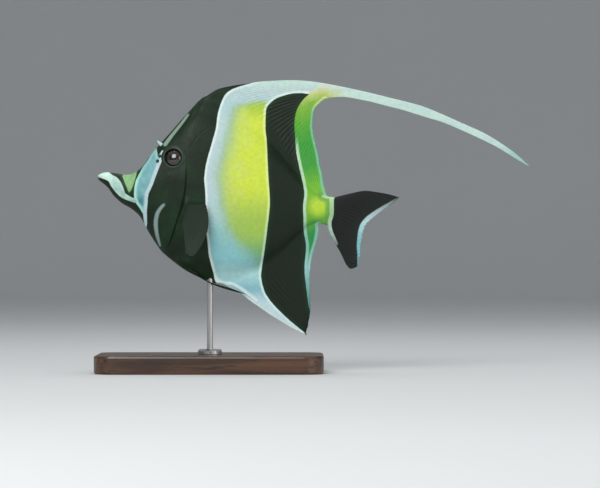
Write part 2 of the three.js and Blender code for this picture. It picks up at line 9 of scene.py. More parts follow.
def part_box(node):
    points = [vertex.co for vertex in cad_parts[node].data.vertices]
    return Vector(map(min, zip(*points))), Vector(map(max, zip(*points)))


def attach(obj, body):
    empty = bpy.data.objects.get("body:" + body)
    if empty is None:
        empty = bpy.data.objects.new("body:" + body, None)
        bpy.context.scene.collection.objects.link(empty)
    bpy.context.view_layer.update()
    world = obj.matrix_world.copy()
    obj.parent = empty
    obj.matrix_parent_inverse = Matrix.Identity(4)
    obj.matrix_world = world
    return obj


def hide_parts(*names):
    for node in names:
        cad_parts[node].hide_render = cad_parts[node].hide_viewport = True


# Moorish idol, a life-size still model on a display stand, dressed round its frame.
# Lengths are millimetres until a mesh is made. Outlines lie in the fish's middle plane:
# x from the stand's rod, z from the middle of the body's height. The left side faces -Y.
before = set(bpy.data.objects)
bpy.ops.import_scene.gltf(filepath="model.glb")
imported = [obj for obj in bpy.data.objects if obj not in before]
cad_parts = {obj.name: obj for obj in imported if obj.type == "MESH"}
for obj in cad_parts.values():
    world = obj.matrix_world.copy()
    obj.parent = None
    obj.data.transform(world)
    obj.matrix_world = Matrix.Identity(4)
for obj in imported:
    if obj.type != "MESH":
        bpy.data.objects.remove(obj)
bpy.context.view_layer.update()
MM = 0.001
BODY_HEIGHT = 117
chance = np.random.default_rng(11)

# Body outline as paired stations, from the mouth to the root of the tail fin.
BACK = [
    (-74, 13), (-69.5, 15), (-62.5, 14.5), (-57, 13.5), (-51.5, 14), (-45.5, 18), (-37.5, 28.5),
    (-26.5, 41), (-14.5, 54.5), (-3.5, 65), (7.5, 64), (20, 57), (34.5, 44.5), (48, 29), (60, 13),
    (67.5, 4.5), (74.5, 0), (82, -1.5),
]
BELLY = [
    (-74, 11), (-71.5, 8.5), (-67.5, 5), (-63.5, -0.5), (-58, -5.5), (-52, -9), (-46, -14.5),
    (-40.5, -24.5), (-35, -33), (-29.5, -39.5), (-13, -51.5), (8, -59), (26.5, -54.5), (44, -42), (58, -28),
    (65, -21.5), (71.5, -19), (77.5, -20),
]
HALF_WIDTHS = [2.4, 3.4, 4.2, 5, 6.2, 7.8, 9.4, 11.2, 12.8, 13.8, 14.2, 13.4, 11.6, 9.2, 6.8, 5.4, 4.4, 3.4]
LAST_STATION = len(BACK) - 1
GILL_STATION = 9
GILL = [
    (-29.5, -39.5), (-27, -33), (-23.5, -22.5), (-19.5, -10), (-16.5, 2), (-15.5, 15), (-14, 29.5),
    (-11, 46), (-3.5, 65),
]
GILL_BEND_REACH = 3.2
SEARCH_ROUNDS = 30
ROUNDNESS = (0.5, 0.62)
ROUNDNESS_STATIONS = (2, 8)

# Roots of the median fins: stations, half thickness at both ends, and the fillet between skin and fin.
DORSAL_SPAN = (9.12, 16.4)
ANAL_SPAN = (11, 15.95)
FIN_RIM = (1.7, 1.0)
RIM_OPENS_BEFORE = 0.6
RIM_CLOSES_AFTER = 0.4
ROOT_FILLET = 0.085

# Fin margins.
DORSAL_TOP = [
    (-3, 65.5), (4, 69.8), (12, 71.8), (20.5, 73.2), (32.5, 74.9), (43, 75.6), (54, 75.9), (65.5, 75.2),
    (76.5, 73.6),
]
DORSAL_REAR = [
    (76, 63.5), (72.5, 60.5), (69.5, 57), (68.5, 52), (68, 46), (68.5, 40.5), (70, 33.5), (71.5, 27),
    (72.5, 20.5), (74, 14), (75, 6.5), (77, -0.5),
]
STREAMER_UPPER = [
    (76.5, 73.6), (87, 71.6), (99.5, 68.9), (111, 66.2), (121, 63.7), (132, 61), (141, 58.4), (153.5, 53.3),
    (165, 48.1), (176.5, 43), (186, 38), (193.5, 33.2), (201.5, 27.5), (211, 19),
]
STREAMER_LOWER = [
    (76, 63.5), (82.5, 64.5), (90.5, 64.5), (98.5, 63), (106, 61.5), (117.5, 58.5), (127.5, 56),
    (143.5, 51), (153.5, 48), (166.5, 42.5), (178.5, 37), (189.5, 31.5), (200, 25), (211, 18.4),
]
ANAL_FRONT = [
    (8, -59), (14.5, -62.3), (20.5, -65.7), (26.5, -70.3), (32.5, -74.3), (39.5, -79.2), (47.5, -84),
    (56, -89), (63.5, -92.5),
]
ANAL_REAR = [
    (63.5, -92.5), (65.5, -84), (66.5, -74.5), (66, -63.5), (66, -53), (67, -44), (68.5, -37),
    (70.5, -30.5), (71.5, -24.5), (71.5, -19.5),
]
CAUDAL_UPPER = [(82, -1.5), (90, 0.5), (96.5, 2), (103, 3), (111.5, 2), (119.5, 0.5), (126, -1.5)]
CAUDAL_REAR = [
    (126, -1.5), (118.5, -7.5), (111, -13), (105.5, -17.5), (102.5, -21.5), (101, -27), (100, -33.5),
    (99.5, -40.5), (98, -47.5),
]
CAUDAL_LOWER = [
    (77.5, -20), (79.5, -26.5), (82.5, -32), (85.5, -37), (88, -42), (90.5, -47), (93.5, -49.5),
    (98, -47.5),
]

# Fin surface: rays of four columns each, their ridges, and the notches between their tips.
RAY_COLUMNS = 4
DORSAL_COLUMNS = 46 * RAY_COLUMNS
STREAMER_COLUMNS = 17 * RAY_COLUMNS
CAUDAL_COLUMNS = 25 * RAY_COLUMNS
DORSAL_SPINES = 7
ANAL_SPINES = 3
RAY_RIDGE = 0.24
RIDGE_SHARE = 0.8
RIDGE_OF_SPACING = 0.42
RIDGE_RISES = (0.02, 0.25)
RIDGE_SINKS = 0.3
BRANCH_GAP = -0.4
FIN_COLOUR_SETS_IN = (0.0, 0.14)
MEMBRANE_HALF = 0.3
STREAMER_HALF = 0.6
STREAMER_TIP_HALF = 0.26
STREAMER_RIDGE = 0.7 * RAY_RIDGE
STREAMER_RIDGE_OF_SPACING = 0.4
STREAMER_SWAY = 1.5
STREAMER_WAVE = 5.2
TAIL_SWAY = 0.9
ROOT_CROWDING = 1.3
ROW_CROWDING = 0.55
SWEEP_EVENNESS = 0.22
STREAMER_SWEEP = 2
DORSAL_SWEEP = 1.3
ANAL_SWEEP = 1.8
SCALLOP = 0.7
RAGGED = 0.5
NOTCH_FROM_REACH = (4, 12)
NOTCHES_END = (0.9, 1)
ANAL_NOTCHED = (0.02, 0.1)
BRANCHES = (0.5, 0.8)
FIN_STEPS = 36
CAUDAL_STEPS = 40
STREAMER_STEPS = 60

# Mouth: its line, the lips round it, and the station where the lips have become snout.
MOUTH_FRONT = (-74, 11.85)
MOUTH_SLOPE = -0.34
MOUTH_CORNER_BACK = 3.0
MOUTH_HALF_WIDTH = 2.2
MOUTH_GAP = 0.8
# Inside the mouth: how far back, how narrow, how far open, and how deep the painted shade is.
MOUTH_INSIDE = [(6.5, 0.0, 0.3, 1), (3.2, 0.62, 1.5, 1), (1.1, 0.86, 1.2, 0.8)]
LIP_BULGE = (-0.45, 0.85, 0.9)
LIP_COLUMNS = 9
LIP_STATION = 1.3
LIP_SHADE = 0.3

# Relief of the head: heights in millimetres, places in stations and in shares from belly to back.
SOCKET_DEPTH = 2.2
SOCKET_EDGE = (4.5, 6.1)
COVER_RAISE = 0.9
COVER_STATIONS = (7.2, 8.96)
COVER_OPENS = (0.02, 0.12)
COVER_CLOSES = (0.48, 0.59)
SLIT_DEPTH = 0.5
SLIT_BEHIND = 0.03
SLIT_REACH = 0.025
CHEEK_RAISE = 0.35
CHEEK_REACH = 1.6
FIN_BOSS_REACH = 2.8
GROOVE_DEPTH = 0.22
GROOVE_STATION = 1.75
GROOVE_REACH = 0.16
PREOPERCLE = [(-27, 13), (-31, 5), (-35.5, -6), (-37, -17), (-34.5, -27)]
PECTORAL_ROOT = [(-15, -5.5), (-18, -14)]
PELVIC_ROOT = [(-19.5, -43), (-15, -44.5)]
FIN_BOSSES = [(PECTORAL_ROOT, 1.2), (PELVIC_ROOT, 0.9)]
HEAD_SPANS = [(1.3, 5, 34), (5, 8.92, 50), (8.92, 9.04, 7), (9.04, 9.12, 3)]

# Markings, and a painted highlight on the tail's root, as edges and lines in the side view.
BAND_FRONT = [
    (40, 77.6), (33, 75.6), (26, 73.5), (19.5, 71.6), (13.5, 69.1), (9.9, 65.9), (7.6, 61.4), (5.9, 56),
    (5, 51), (4, 43), (1.1, 32.3), (-1.8, 21.8), (-3.4, 11.2), (-2.8, 3.3), (-2.5, -6), (-2.2, -14),
    (-2.6, -20), (-1.3, -31), (-0.6, -39), (0.5, -44.2), (2.5, -52), (3.6, -57), (7.9, -62.7),
]
REAR_BAND_FRONT = [
    (62.7, -91), (54, -84), (48, -78.5), (42.8, -73.3), (38.5, -68), (35.6, -62.5), (33.8, -55),
    (34, -49.5), (35.7, -39), (37.5, -25.5), (39.3, -10), (39.5, -2), (38.5, 14), (37.5, 35), (36.6, 44),
    (36.9, 55), (38, 58.7), (40.5, 61.4), (44.2, 64), (52.5, 66.7), (59.4, 67.4),
]
REAR_BAND_BACK = [
    (65.8, 66.7), (62.5, 64), (59, 59.5), (56.7, 54), (55.7, 47), (56.2, 38), (57, 28), (58.8, 19),
    (61.1, 8.6), (62.3, 1), (61.4, -7.5), (61.7, -15), (61.9, -23.5), (63.4, -34), (62.4, -47), (63, -57),
    (65.2, -73.3), (67, -82), (65, -95),
]
FACE_FRONT = [
    (-36, 32.5), (-38.4, 27.5), (-40.7, 23.2), (-44, 18.9), (-46.6, 13.7), (-48.5, 9.8), (-49.5, 5.3),
    (-49.8, 0.7), (-49.6, -2.3), (-48.2, -5.8), (-45.9, -9.1), (-44, -12.3), (-43.3, -18.9), (-42.6, -24.4),
]
FACE_REAR = [
    (-41.4, -18.9), (-41.3, -9.7), (-40.9, -5.8), (-40.6, -1.9), (-40.1, 0.7), (-38.9, 3.3), (-37.1, 7.3),
    (-36.2, 9.9), (-34.7, 13.9), (-33.5, 17), (-32.2, 20.3), (-30.6, 24.2), (-29.8, 26.8), (-30, 28.8),
]
FACE_NOTCH = [(-31.2, 29.4), (-32.2, 28.1), (-34.2, 25.1), (-34.5, 28.1), (-35.2, 31.2)]
SNOUT_STRIP = [
    (-76, 16), (-71, 16.5), (-67.5, 15.6), (-64.5, 13.4), (-60.6, 11), (-57.9, 7), (-56.3, 3), (-55.2, 0.7),
    (-51, -1.8), (-48.6, -2.7), (-48.6, -5.2), (-54.6, -3.3), (-58.8, -1.3), (-62.2, 2.1), (-64.9, 5.7),
    (-67, 9.2), (-71.9, 11.2), (-76, 12),
]
SADDLE = [(-57.6, 12), (-57, 16), (-47.8, 18), (-48.4, 13), (-49.8, 8), (-51.7, 3), (-53.3, 1.4), (-55, 6)]
FOREHEAD_LINE = [(-29.3, 33.3), (-26.4, 37.2), (-22.8, 41.8), (-19.2, 46.3), (-16.2, 50.3), (-14.3, 52.9)]
CHEST_LINE = [
    (-30, -6.5), (-31.9, -8.4), (-34.1, -11.7), (-35.2, -15.6), (-35.5, -20.2), (-35, -24.8),
    (-34.2, -28.6), (-32.9, -33.2),
]
TAIL_BAR = [(80.2, -2.6), (80.2, -12.5), (78.9, -17.8), (79.5, -23.1), (81.8, -28.4), (83.5, -32.3)]
# A painted highlight along the top edge of the tail's root, painted in with the white bar.
TAIL_TOP_HIGHLIGHT = [(74.6, -0.8), (81.4, -2)]
TAIL_FROM = (76, 12)
YELLOW_FROM = 3
YELLOW_FULL = 22
YELLOW_LOW_END = (-12, -36)
YELLOW_LOW_REACH = 32
YELLOW_LOW_FADE = (-23, 24)
YELLOW_TOP_FADE = (56, 66)
FACE_DEEP = (-46.2, -4.4)
TAIL_GLOW = (71.3, -7.9)
BELLY_RIM = [
    (0.8, -44.5), (2, -50), (4, -54.5), (8, -57.6), (14, -58.3), (20, -61.3), (25.5, -65.3), (31, -69.5),
]
LATERAL_LINE = [(-13, 31), (-4, 42), (8, 47), (22, 45), (38, 35), (52, 20), (62, 5), (70, -5), (80, -10)]


def smooth(value, low, high):
    t = np.clip((value - low) / (high - low), 0, 1)
    return t * t * (3 - 2 * t)


def mix(a, b, t):
    return a + (b - a) * t


def bell(value, reach):
    """One at nought, less and less as the value leaves it either way."""
    return np.exp(-((value / reach) ** 2))


class Line:
    """A smooth line through points, evenly weighted, its ends repeated."""

    def __init__(self, points):
        self.points = np.array(points, float)
        self.padded = np.vstack([self.points[:1], self.points, self.points[-1:]])
        self.shares = np.linspace(0, 1, 801)
        steps = np.linalg.norm(np.diff(self.at(self.shares), axis=0), axis=1)
        run = np.concatenate([[0], np.cumsum(steps)])
        self.length = run[-1]
        self.run = run / self.length

    def at(self, share):
        spans = len(self.points) - 1
        place = np.clip(share * spans, 0, spans - 1e-9)
        first = place.astype(int)
        w = (place - first)[..., None]
        a, b, c, d = (self.padded[first + n] for n in range(4))
        into, out = (c - a) / 2, (d - b) / 2
        return (2 * b - 2 * c + into + out) * w**3 + (3 * c - 3 * b - 2 * into - out) * w**2 + into * w + b

    def along(self, share):
        """The place at a share of the line's length."""
        return self.at(np.interp(share, self.run, self.shares))


back_line = Line(BACK)
belly_line = Line(BELLY)
gill_line = Line(GILL)
width_line = Line(list(enumerate(HALF_WIDTHS)))


def at_station(line, station):
    return line.at(station / LAST_STATION)


def fin_rim(station, start, end):
    """Half thickness of the rim that a fin grows from, nothing away from the fin."""
    opened = smooth(station, start - RIM_OPENS_BEFORE, start)
    closed = smooth(station, end, end + RIM_CLOSES_AFTER)
    along = np.clip((station - start) / (end - start), 0, 1)
    return mix(*FIN_RIM, along) * opened * (1 - closed)


def body(station, share):
    """Place and half thickness of the skin, and its fin rim. Share runs from belly to back."""
    station, share = np.broadcast_arrays(station, share)
    chord = mix(at_station(belly_line, station), at_station(back_line, station), share[..., None])
    bend = bell(station - GILL_STATION, GILL_BEND_REACH)
    bow = gill_line.along(share) - mix(gill_line.points[0], gill_line.points[-1], share[..., None])
    place = chord + bend[..., None] * bow
    upper = share > 0.5
    rim = np.where(upper, fin_rim(station, *DORSAL_SPAN), fin_rim(station, *ANAL_SPAN))
    fillet = 1 - np.clip(rim, 0, 1) * bell(np.where(upper, 1 - share, share), ROOT_FILLET)
    width = at_station(width_line, station)[..., 1]
    roundness = mix(*ROUNDNESS, smooth(station, *ROUNDNESS_STATIONS))
    full = (1 - (2 * share - 1) ** 2) ** roundness
    return place[..., 0], place[..., 1], rim + (width - rim) * full * fillet, rim


def half_width_at(x, z):
    """Half width of the body at places of the side view."""
    x, z = np.broadcast_arrays(x, z)
    station = np.full(x.shape, GILL_STATION - 1.0)
    share = np.full(x.shape, 0.5)
    step = 0.01
    for _ in range(SEARCH_ROUNDS):
        here = np.array(body(station, share)[:2])
        ahead = (np.array(body(station + step, share)[:2]) - here) / step
        above = (np.array(body(station, share + step)[:2]) - here) / step
        det = ahead[0] * above[1] - above[0] * ahead[1]
        dx, dz = x - here[0], z - here[1]
        station = np.clip(station + (above[1] * dx - above[0] * dz) / det, step, LAST_STATION - step)
        share = np.clip(share + (ahead[0] * dz - ahead[1] * dx) / det, step, 1 - 2 * step)
    return body(station, share)[2]


def spots_on(points, spacing):
    """Places along a line at even distances."""
    line = Line(points)
    return line.along(np.linspace(0, 1, int(line.length / spacing) + 2))


def nearest(x, z, spots):
    """Which spot is nearest to each place."""
    tree = KDTree(len(spots))
    for number, (a, b) in enumerate(spots):
        tree.insert((a, b, 0), number)
    tree.balance()
    found = [tree.find((a, b, 0))[1] for a, b in zip(np.ravel(x), np.ravel(z))]
    return np.array(found).reshape(np.shape(x))


def away_from(x, z, points):
    """Distance from places to an open line, positive on its right as it runs."""
    spots = spots_on(points, 0.4)
    tangent = np.gradient(spots, axis=0)
    tangent /= np.linalg.norm(tangent, axis=1)[:, None]
    near = nearest(x, z, spots)
    dx, dz = x - spots[near, 0], z - spots[near, 1]
    return dx * tangent[near, 1] - dz * tangent[near, 0]


def distance_to(x, z, points):
    """Distance from places to an open line, and the share of the line's length that is nearest."""
    spots = spots_on(points, 0.2)
    near = nearest(x, z, spots)
    return np.hypot(x - spots[near, 0], z - spots[near, 1]), near / (len(spots) - 1)


def depth_in(x, z, outline):
    """Distance from places to a closed outline, positive inside."""
    corners = np.array(outline, float)
    ahead = np.roll(corners, -1, axis=0)
    inside = np.zeros(np.shape(x), bool)
    gap = np.full(np.shape(x), 1e9)
    for (ax, az), (bx, bz) in zip(corners, ahead):
        length = (bx - ax) ** 2 + (bz - az) ** 2
        t = np.clip(((x - ax) * (bx - ax) + (z - az) * (bz - az)) / length, 0, 1)
        gap = np.minimum(gap, np.hypot(x - mix(ax, bx, t), z - mix(az, bz, t)))
        if az != bz:
            crosses = (az > z) != (bz > z)
            inside ^= crosses & (x < ax + (z - az) * (bx - ax) / (bz - az))
    return np.where(inside, gap, -gap)


def rounded(outline, count=160):
    """A closed outline with its corners smoothed."""
    return Line(outline + outline[:1]).at(np.linspace(0, 1, count + 1))[:-1]


# The fish's side view as grids of places.
FIELDS = ("x", "z", "half", "lean", "radius", "ray", "along", "fin", "caudal", "streamer", "mouth")


def grid_quads(number):
    """Quads of a grid of numbered places."""
    quads = np.stack([number[:-1, :-1], number[1:, :-1], number[1:, 1:], number[:-1, 1:]], -1)
    return quads.reshape(-1, 4)


class Sheet:
    """Grids of places joined by quads, with their half thickness and the fields of their surface."""

    def __init__(self):
        self.parts = {name: [] for name in FIELDS}
        self.count = 0
        self.quads = []

    def grid(self, shared=None, flipped=False, **fields):
        """Adds a grid and gives its places' numbers. Its first column may be places already there."""
        rows, columns = fields["x"].shape
        old = 0 if shared is None else 1
        fresh = rows * (columns - old)
        number = np.empty((rows, columns), int)
        number[:, old:] = self.count + np.arange(fresh).reshape(rows, -1)
        if old:
            number[:, 0] = shared
        for name in FIELDS:
            values = np.broadcast_to(fields.get(name, 0.0), (rows, columns))
            self.parts[name].append(values[:, old:].ravel())
        self.count += fresh
        self.quads.append(grid_quads(number)[:, :: -1 if flipped else 1])
        return number

    def finished(self):
        """Fields as arrays, all quads, and which places lie on the silhouette."""
        fields = {name: np.concatenate(parts) for name, parts in self.parts.items()}
        quads = np.vstack(self.quads)
        edges = np.vstack([quads[:, pair] for pair in ([0, 1], [1, 2], [2, 3], [3, 0])])
        pairs, uses = np.unique(np.sort(edges, axis=1), axis=0, return_counts=True)
        rim = np.zeros(self.count, bool)
        rim[pairs[uses == 1].ravel()] = True
        return fields, quads, rim


def row_shares(rows):
    """Shares from belly to back, closer together at both rims."""
    t = np.arange(rows + 1) / rows
    return t - ROW_CROWDING * np.sin(2 * np.pi * t) / (2 * np.pi)


def eye_place():
    """Middle of the left eye in the side view and how far its front stands out."""
    low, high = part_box("eye_left")
    return (low.x + high.x) / 2 / MM, (low.z + high.z) / 2 / MM - BODY_HEIGHT, -low.y / MM


def relief(station, share, x, z):
    """What the forms of the head add to the half thickness."""
    cover = smooth(share, *COVER_OPENS) * (1 - smooth(share, *COVER_CLOSES))
    raised = smooth(station, *COVER_STATIONS) * (station <= GILL_STATION)
    slit = bell(station - GILL_STATION - SLIT_BEHIND, SLIT_REACH)
    add = cover * (COVER_RAISE * raised - SLIT_DEPTH * slit)
    gap, _ = distance_to(x, z, PREOPERCLE)
    add = add + CHEEK_RAISE * bell(gap, CHEEK_REACH) * (station < GILL_STATION)
    eye_x, eye_z, _ = eye_place()
    add = add - SOCKET_DEPTH * (1 - smooth(np.hypot(x - eye_x, z - eye_z), *SOCKET_EDGE))
    for root, height in FIN_BOSSES:
        gap, _ = distance_to(x, z, root)
        add = add + height * bell(gap, FIN_BOSS_REACH) * (station > GILL_STATION + 0.1)
    groove = bell(station - GROOVE_STATION, GROOVE_REACH)
    return add - GROOVE_DEPTH * groove * np.clip(1 - (2 * share - 1) ** 2, 0, 1)


def mouth_columns(share):
    """Columns from inside the mouth over the lips: x, z, half thickness and how much painted shade darkens
    them.
    """
    corner = np.sin(np.pi * share)
    upward = -np.cos(np.pi * share)
    lip_x = MOUTH_FRONT[0] + MOUTH_CORNER_BACK * corner**2
    middle = MOUTH_FRONT[1] + MOUTH_SLOPE * (lip_x - MOUTH_FRONT[0])
    lip_z = middle + MOUTH_GAP / 2 * upward * (1 - 0.9 * corner**4)
    ring = np.array([lip_x, lip_z, MOUTH_HALF_WIDTH * corner**0.9])
    columns, inside = [], []
    for back, narrow, opened, shade in MOUTH_INSIDE:
        z = middle + MOUTH_SLOPE * back + (lip_z - middle) * opened
        columns.append(np.array([lip_x + back, z, ring[2] * narrow]))
        inside.append(shade)
    start = np.array(body(LIP_STATION, share)[:3])
    ahead = np.array(body(LIP_STATION + 0.02, share)[:3]) - start
    ahead /= np.linalg.norm(ahead, axis=0)
    forward, up, out = LIP_BULGE
    full = ring + np.array([forward * (1 - corner), up * upward, out * corner])
    before = start - ahead * 0.5 * np.linalg.norm(start - ring, axis=0)
    for t in np.arange(LIP_COLUMNS) / LIP_COLUMNS:
        s = 1 - t
        columns.append(s**3 * ring + 3 * s**2 * t * full + 3 * s * t**2 * before + t**3 * start)
        inside.append(0 if t else LIP_SHADE)
    columns = np.array(columns)
    return columns[:, 0], columns[:, 1], columns[:, 2], np.array(inside)[:, None]


def head_stations():
    return np.concatenate([np.linspace(a, b, n + 1)[:-1] for a, b, n in HEAD_SPANS])


def body_grid(sheet):
    """Adds the body and gives its places' numbers and its columns' stations."""
    share = row_shares(CAUDAL_COLUMNS)
    dorsal = np.linspace(*DORSAL_SPAN, DORSAL_COLUMNS + 1)
    tail = np.linspace(DORSAL_SPAN[1], LAST_STATION, 11)[1:]
    stations = np.concatenate([head_stations(), dorsal, tail])
    x, z, half, rim = body(stations[:, None], share[None, :])
    half = half + relief(stations[:, None], share[None, :], x, z)
    mouth_x, mouth_z, mouth_half, inside = mouth_columns(share)
    lips = len(mouth_x)
    number = sheet.grid(
        x=np.vstack([mouth_x, x]),
        z=np.vstack([mouth_z, z]),
        half=np.vstack([mouth_half, half]),
        radius=np.vstack([np.zeros_like(mouth_x), rim]),
        mouth=np.vstack([np.broadcast_to(inside, mouth_x.shape), np.zeros_like(x)]),
    )
    return number[lips:], stations


def sway(points, share):
    """How far a line leaves its own chord, along and across it, in chord lengths."""
    line = Line(points)
    start = line.points[0]
    chord = line.points[-1] - start
    offset = line.along(share) - start - chord * share[:, None]
    across = chord[0] * offset[:, 1] - chord[1] * offset[:, 0]
    return np.array([offset @ chord, across]) / (chord @ chord)


def crest(columns):
    """Height of each column on its ray: groove, flank, crest, flank."""
    return -np.cos(np.pi / 2 * (columns % RAY_COLUMNS))


def notches(columns, deep, most):
    """How far columns end short of the margin: deepest between rays, and by chance at each ray's tip."""
    ragged = np.repeat(chance.uniform(0, most, len(columns) // RAY_COLUMNS + 1), RAY_COLUMNS)
    return deep * (1 - crest(columns)) / 2 + ragged[: len(columns)]


def ridge_height(x, z, of_spacing):
    """Height of the rays' ridges, less where they lie close together."""
    spacing = np.hypot(np.gradient(x, axis=0), np.gradient(z, axis=0))
    return np.minimum(RAY_RIDGE, of_spacing * spacing)


def fan(root, tip, share, first, last, scallop, root_half, tip_half=MEMBRANE_HALF, spines=0, steps=FIN_STEPS):
    """Fields of a fin whose rays bend like its first line and, further on, like its last.

    The margin is notched between rays as far as scallop says, and spines are rays that don't branch.
    """
    columns = np.arange(len(root))
    reach = np.linalg.norm(tip - root, axis=1)
    notch = notches(columns, SCALLOP, RAGGED) * scallop * smooth(reach, *NOTCH_FROM_REACH)
    tip = tip - (tip - root) * (notch / np.maximum(reach, 1))[:, None]
    along = (np.arange(steps + 1) / steps) ** ROOT_CROWDING
    bend = mix(sway(first, along), sway(last, along), share[:, None, None])
    bend_along, bend_across = along + bend[:, 0], bend[:, 1]
    chord = tip - root
    x = root[:, :1] + chord[:, :1] * bend_along - chord[:, 1:] * bend_across
    z = root[:, 1:] + chord[:, 1:] * bend_along + chord[:, :1] * bend_across
    plain = mix(np.reshape(root_half, (-1, 1)), np.reshape(tip_half, (-1, 1)), 1 - (1 - along) ** 3)
    between = np.where(columns % RAY_COLUMNS == 0, -1.0, BRANCH_GAP)
    branched = np.where(columns % 2 == 1, 1.0, between)
    split = smooth(along, *BRANCHES) * (columns >= spines * RAY_COLUMNS)[:, None]
    profile = mix(crest(columns)[:, None], branched[:, None], split)
    height = ridge_height(x, z, RIDGE_OF_SPACING) * smooth(along, *RIDGE_RISES) * (1 - RIDGE_SINKS * along)
    half = plain + profile * height * RIDGE_SHARE
    ray = columns[:, None] / RAY_COLUMNS
    fin = smooth(along, *FIN_COLOUR_SETS_IN)
    return dict(x=x, z=z, half=half, radius=plain, ray=ray, along=along, fin=fin)


def swept(share, sweep):
    """Shares moved towards a fin's first ray, though never quite on top of each other."""
    return mix(share**sweep, share, SWEEP_EVENNESS)


def median_fin(line, stations, span, tip, margin, notched, **others):
    """Fields of a fin on a line of the body, whose margin is notched from a share on."""
    share = np.linspace(0, 1, len(stations))
    scallop = smooth(share, *notched) * (1 - smooth(share, *NOTCHES_END))
    root_half = fin_rim(stations, *span)
    return fan(at_station(line, stations), tip, share, margin, margin, scallop, root_half, **others)


def dorsal_fin(sheet, number, stations):
    here = slice(len(head_stations()), len(head_stations()) + DORSAL_COLUMNS + 1)
    share = np.linspace(0, 1, DORSAL_COLUMNS + 1)
    front = share[STREAMER_COLUMNS]
    high, low = np.array([STREAMER_UPPER[0], STREAMER_LOWER[0]], float)
    down = swept(share[: STREAMER_COLUMNS + 1] / front, STREAMER_SWEEP)
    rest = (share[STREAMER_COLUMNS + 1 :] - front) / (1 - front)
    rear = Line(DORSAL_REAR).along(swept(rest, DORSAL_SWEEP))
    tip = np.vstack([mix(high, low, down[:, None]), rear])
    tip_half = mix(STREAMER_HALF, MEMBRANE_HALF, smooth(share, front, front + 0.1))
    fields = median_fin(
        back_line, stations[here], DORSAL_SPAN, tip, DORSAL_TOP, (front, front + 0.05),
        tip_half=tip_half, spines=DORSAL_SPINES,
    )
    fin_number = sheet.grid(shared=number[here, -1], **fields)
    streamer(sheet, fin_number[: STREAMER_COLUMNS + 1, -1], down)


def streamer(sheet, shared, down):
    """The long filament, carrying on the dorsal fin's first rays."""
    t = np.arange(STREAMER_STEPS + 1) / STREAMER_STEPS
    upper, lower = Line(STREAMER_UPPER).along(t), Line(STREAMER_LOWER).along(t)
    x = mix(upper[:, 0], lower[:, 0], down[:, None])
    z = mix(upper[:, 1], lower[:, 1], down[:, None])
    plain = mix(STREAMER_HALF, STREAMER_TIP_HALF, t)
    height = np.minimum(STREAMER_RIDGE, STREAMER_RIDGE_OF_SPACING * np.abs(np.gradient(z, axis=0)))
    columns = np.arange(len(down))[:, None]
    sheet.grid(
        shared=shared, x=x, z=z, half=plain + crest(columns) * height, radius=plain, streamer=t,
        lean=STREAMER_SWAY * np.sin(STREAMER_WAVE * t) * t, ray=columns / RAY_COLUMNS, along=1, fin=1,
    )


def anal_fin(sheet, number, stations):
    start, end = (int(np.abs(stations - at).argmin()) for at in ANAL_SPAN)
    here = slice(start, end + 1)
    tip = Line(ANAL_REAR).along(swept(np.linspace(0, 1, end + 1 - start), ANAL_SWEEP))
    fields = median_fin(
        belly_line, stations[here], ANAL_SPAN, tip, ANAL_FRONT, ANAL_NOTCHED, spines=ANAL_SPINES
    )
    sheet.grid(shared=number[here, 0], flipped=True, **fields)


def caudal_fin(sheet, number):
    rows = row_shares(CAUDAL_COLUMNS)
    share = 1 - rows
    top, bottom = back_line.points[-1], belly_line.points[-1]
    margin = mix(share, np.linspace(1, 0, len(rows)), 0.5)
    fields = fan(
        mix(top, bottom, share[:, None]), Line(CAUDAL_REAR).along(margin), share, CAUDAL_UPPER, CAUDAL_LOWER,
        scallop=1, root_half=body(LAST_STATION, rows)[2], steps=CAUDAL_STEPS,
    )
    wobble = TAIL_SWAY * np.sin(3 * fields["along"] + 2 * share[:, None]) * fields["along"] ** 2
    sheet.grid(shared=number[-1], flipped=True, lean=wobble, caudal=fields["fin"], **fields)


# Painted lines: places, half width in millimetres at both ends, and how its change runs along the line.
PAINTED_LINES = dict(
    forehead=(FOREHEAD_LINE, 1.3, 0.75),
    chest=(CHEST_LINE, 0, 1.3, lambda share: np.sin(np.pi * (0.18 + 0.72 * share)) ** 0.7),
    bar=(TAIL_BAR, 1.5, 1.0),
    # A painted highlight along the top edge of the tail's root.
    tail_top_highlight=(TAIL_TOP_HIGHLIGHT, 0.75, 0.75),
    tail_edge=(CAUDAL_REAR, 0.7, 3.8, lambda share: np.sin(np.pi * share) ** 0.8),
    dorsal_edge=(DORSAL_REAR, 1.9, 1.9),
    anal_edge=(ANAL_FRONT, 1.3, 1.3),
    anal_rear_edge=(ANAL_REAR, 0, 2.1, lambda share: smooth(share, 0.35, 0.6)),
    belly_rim=(BELLY_RIM, 1.0, 1.0),
)


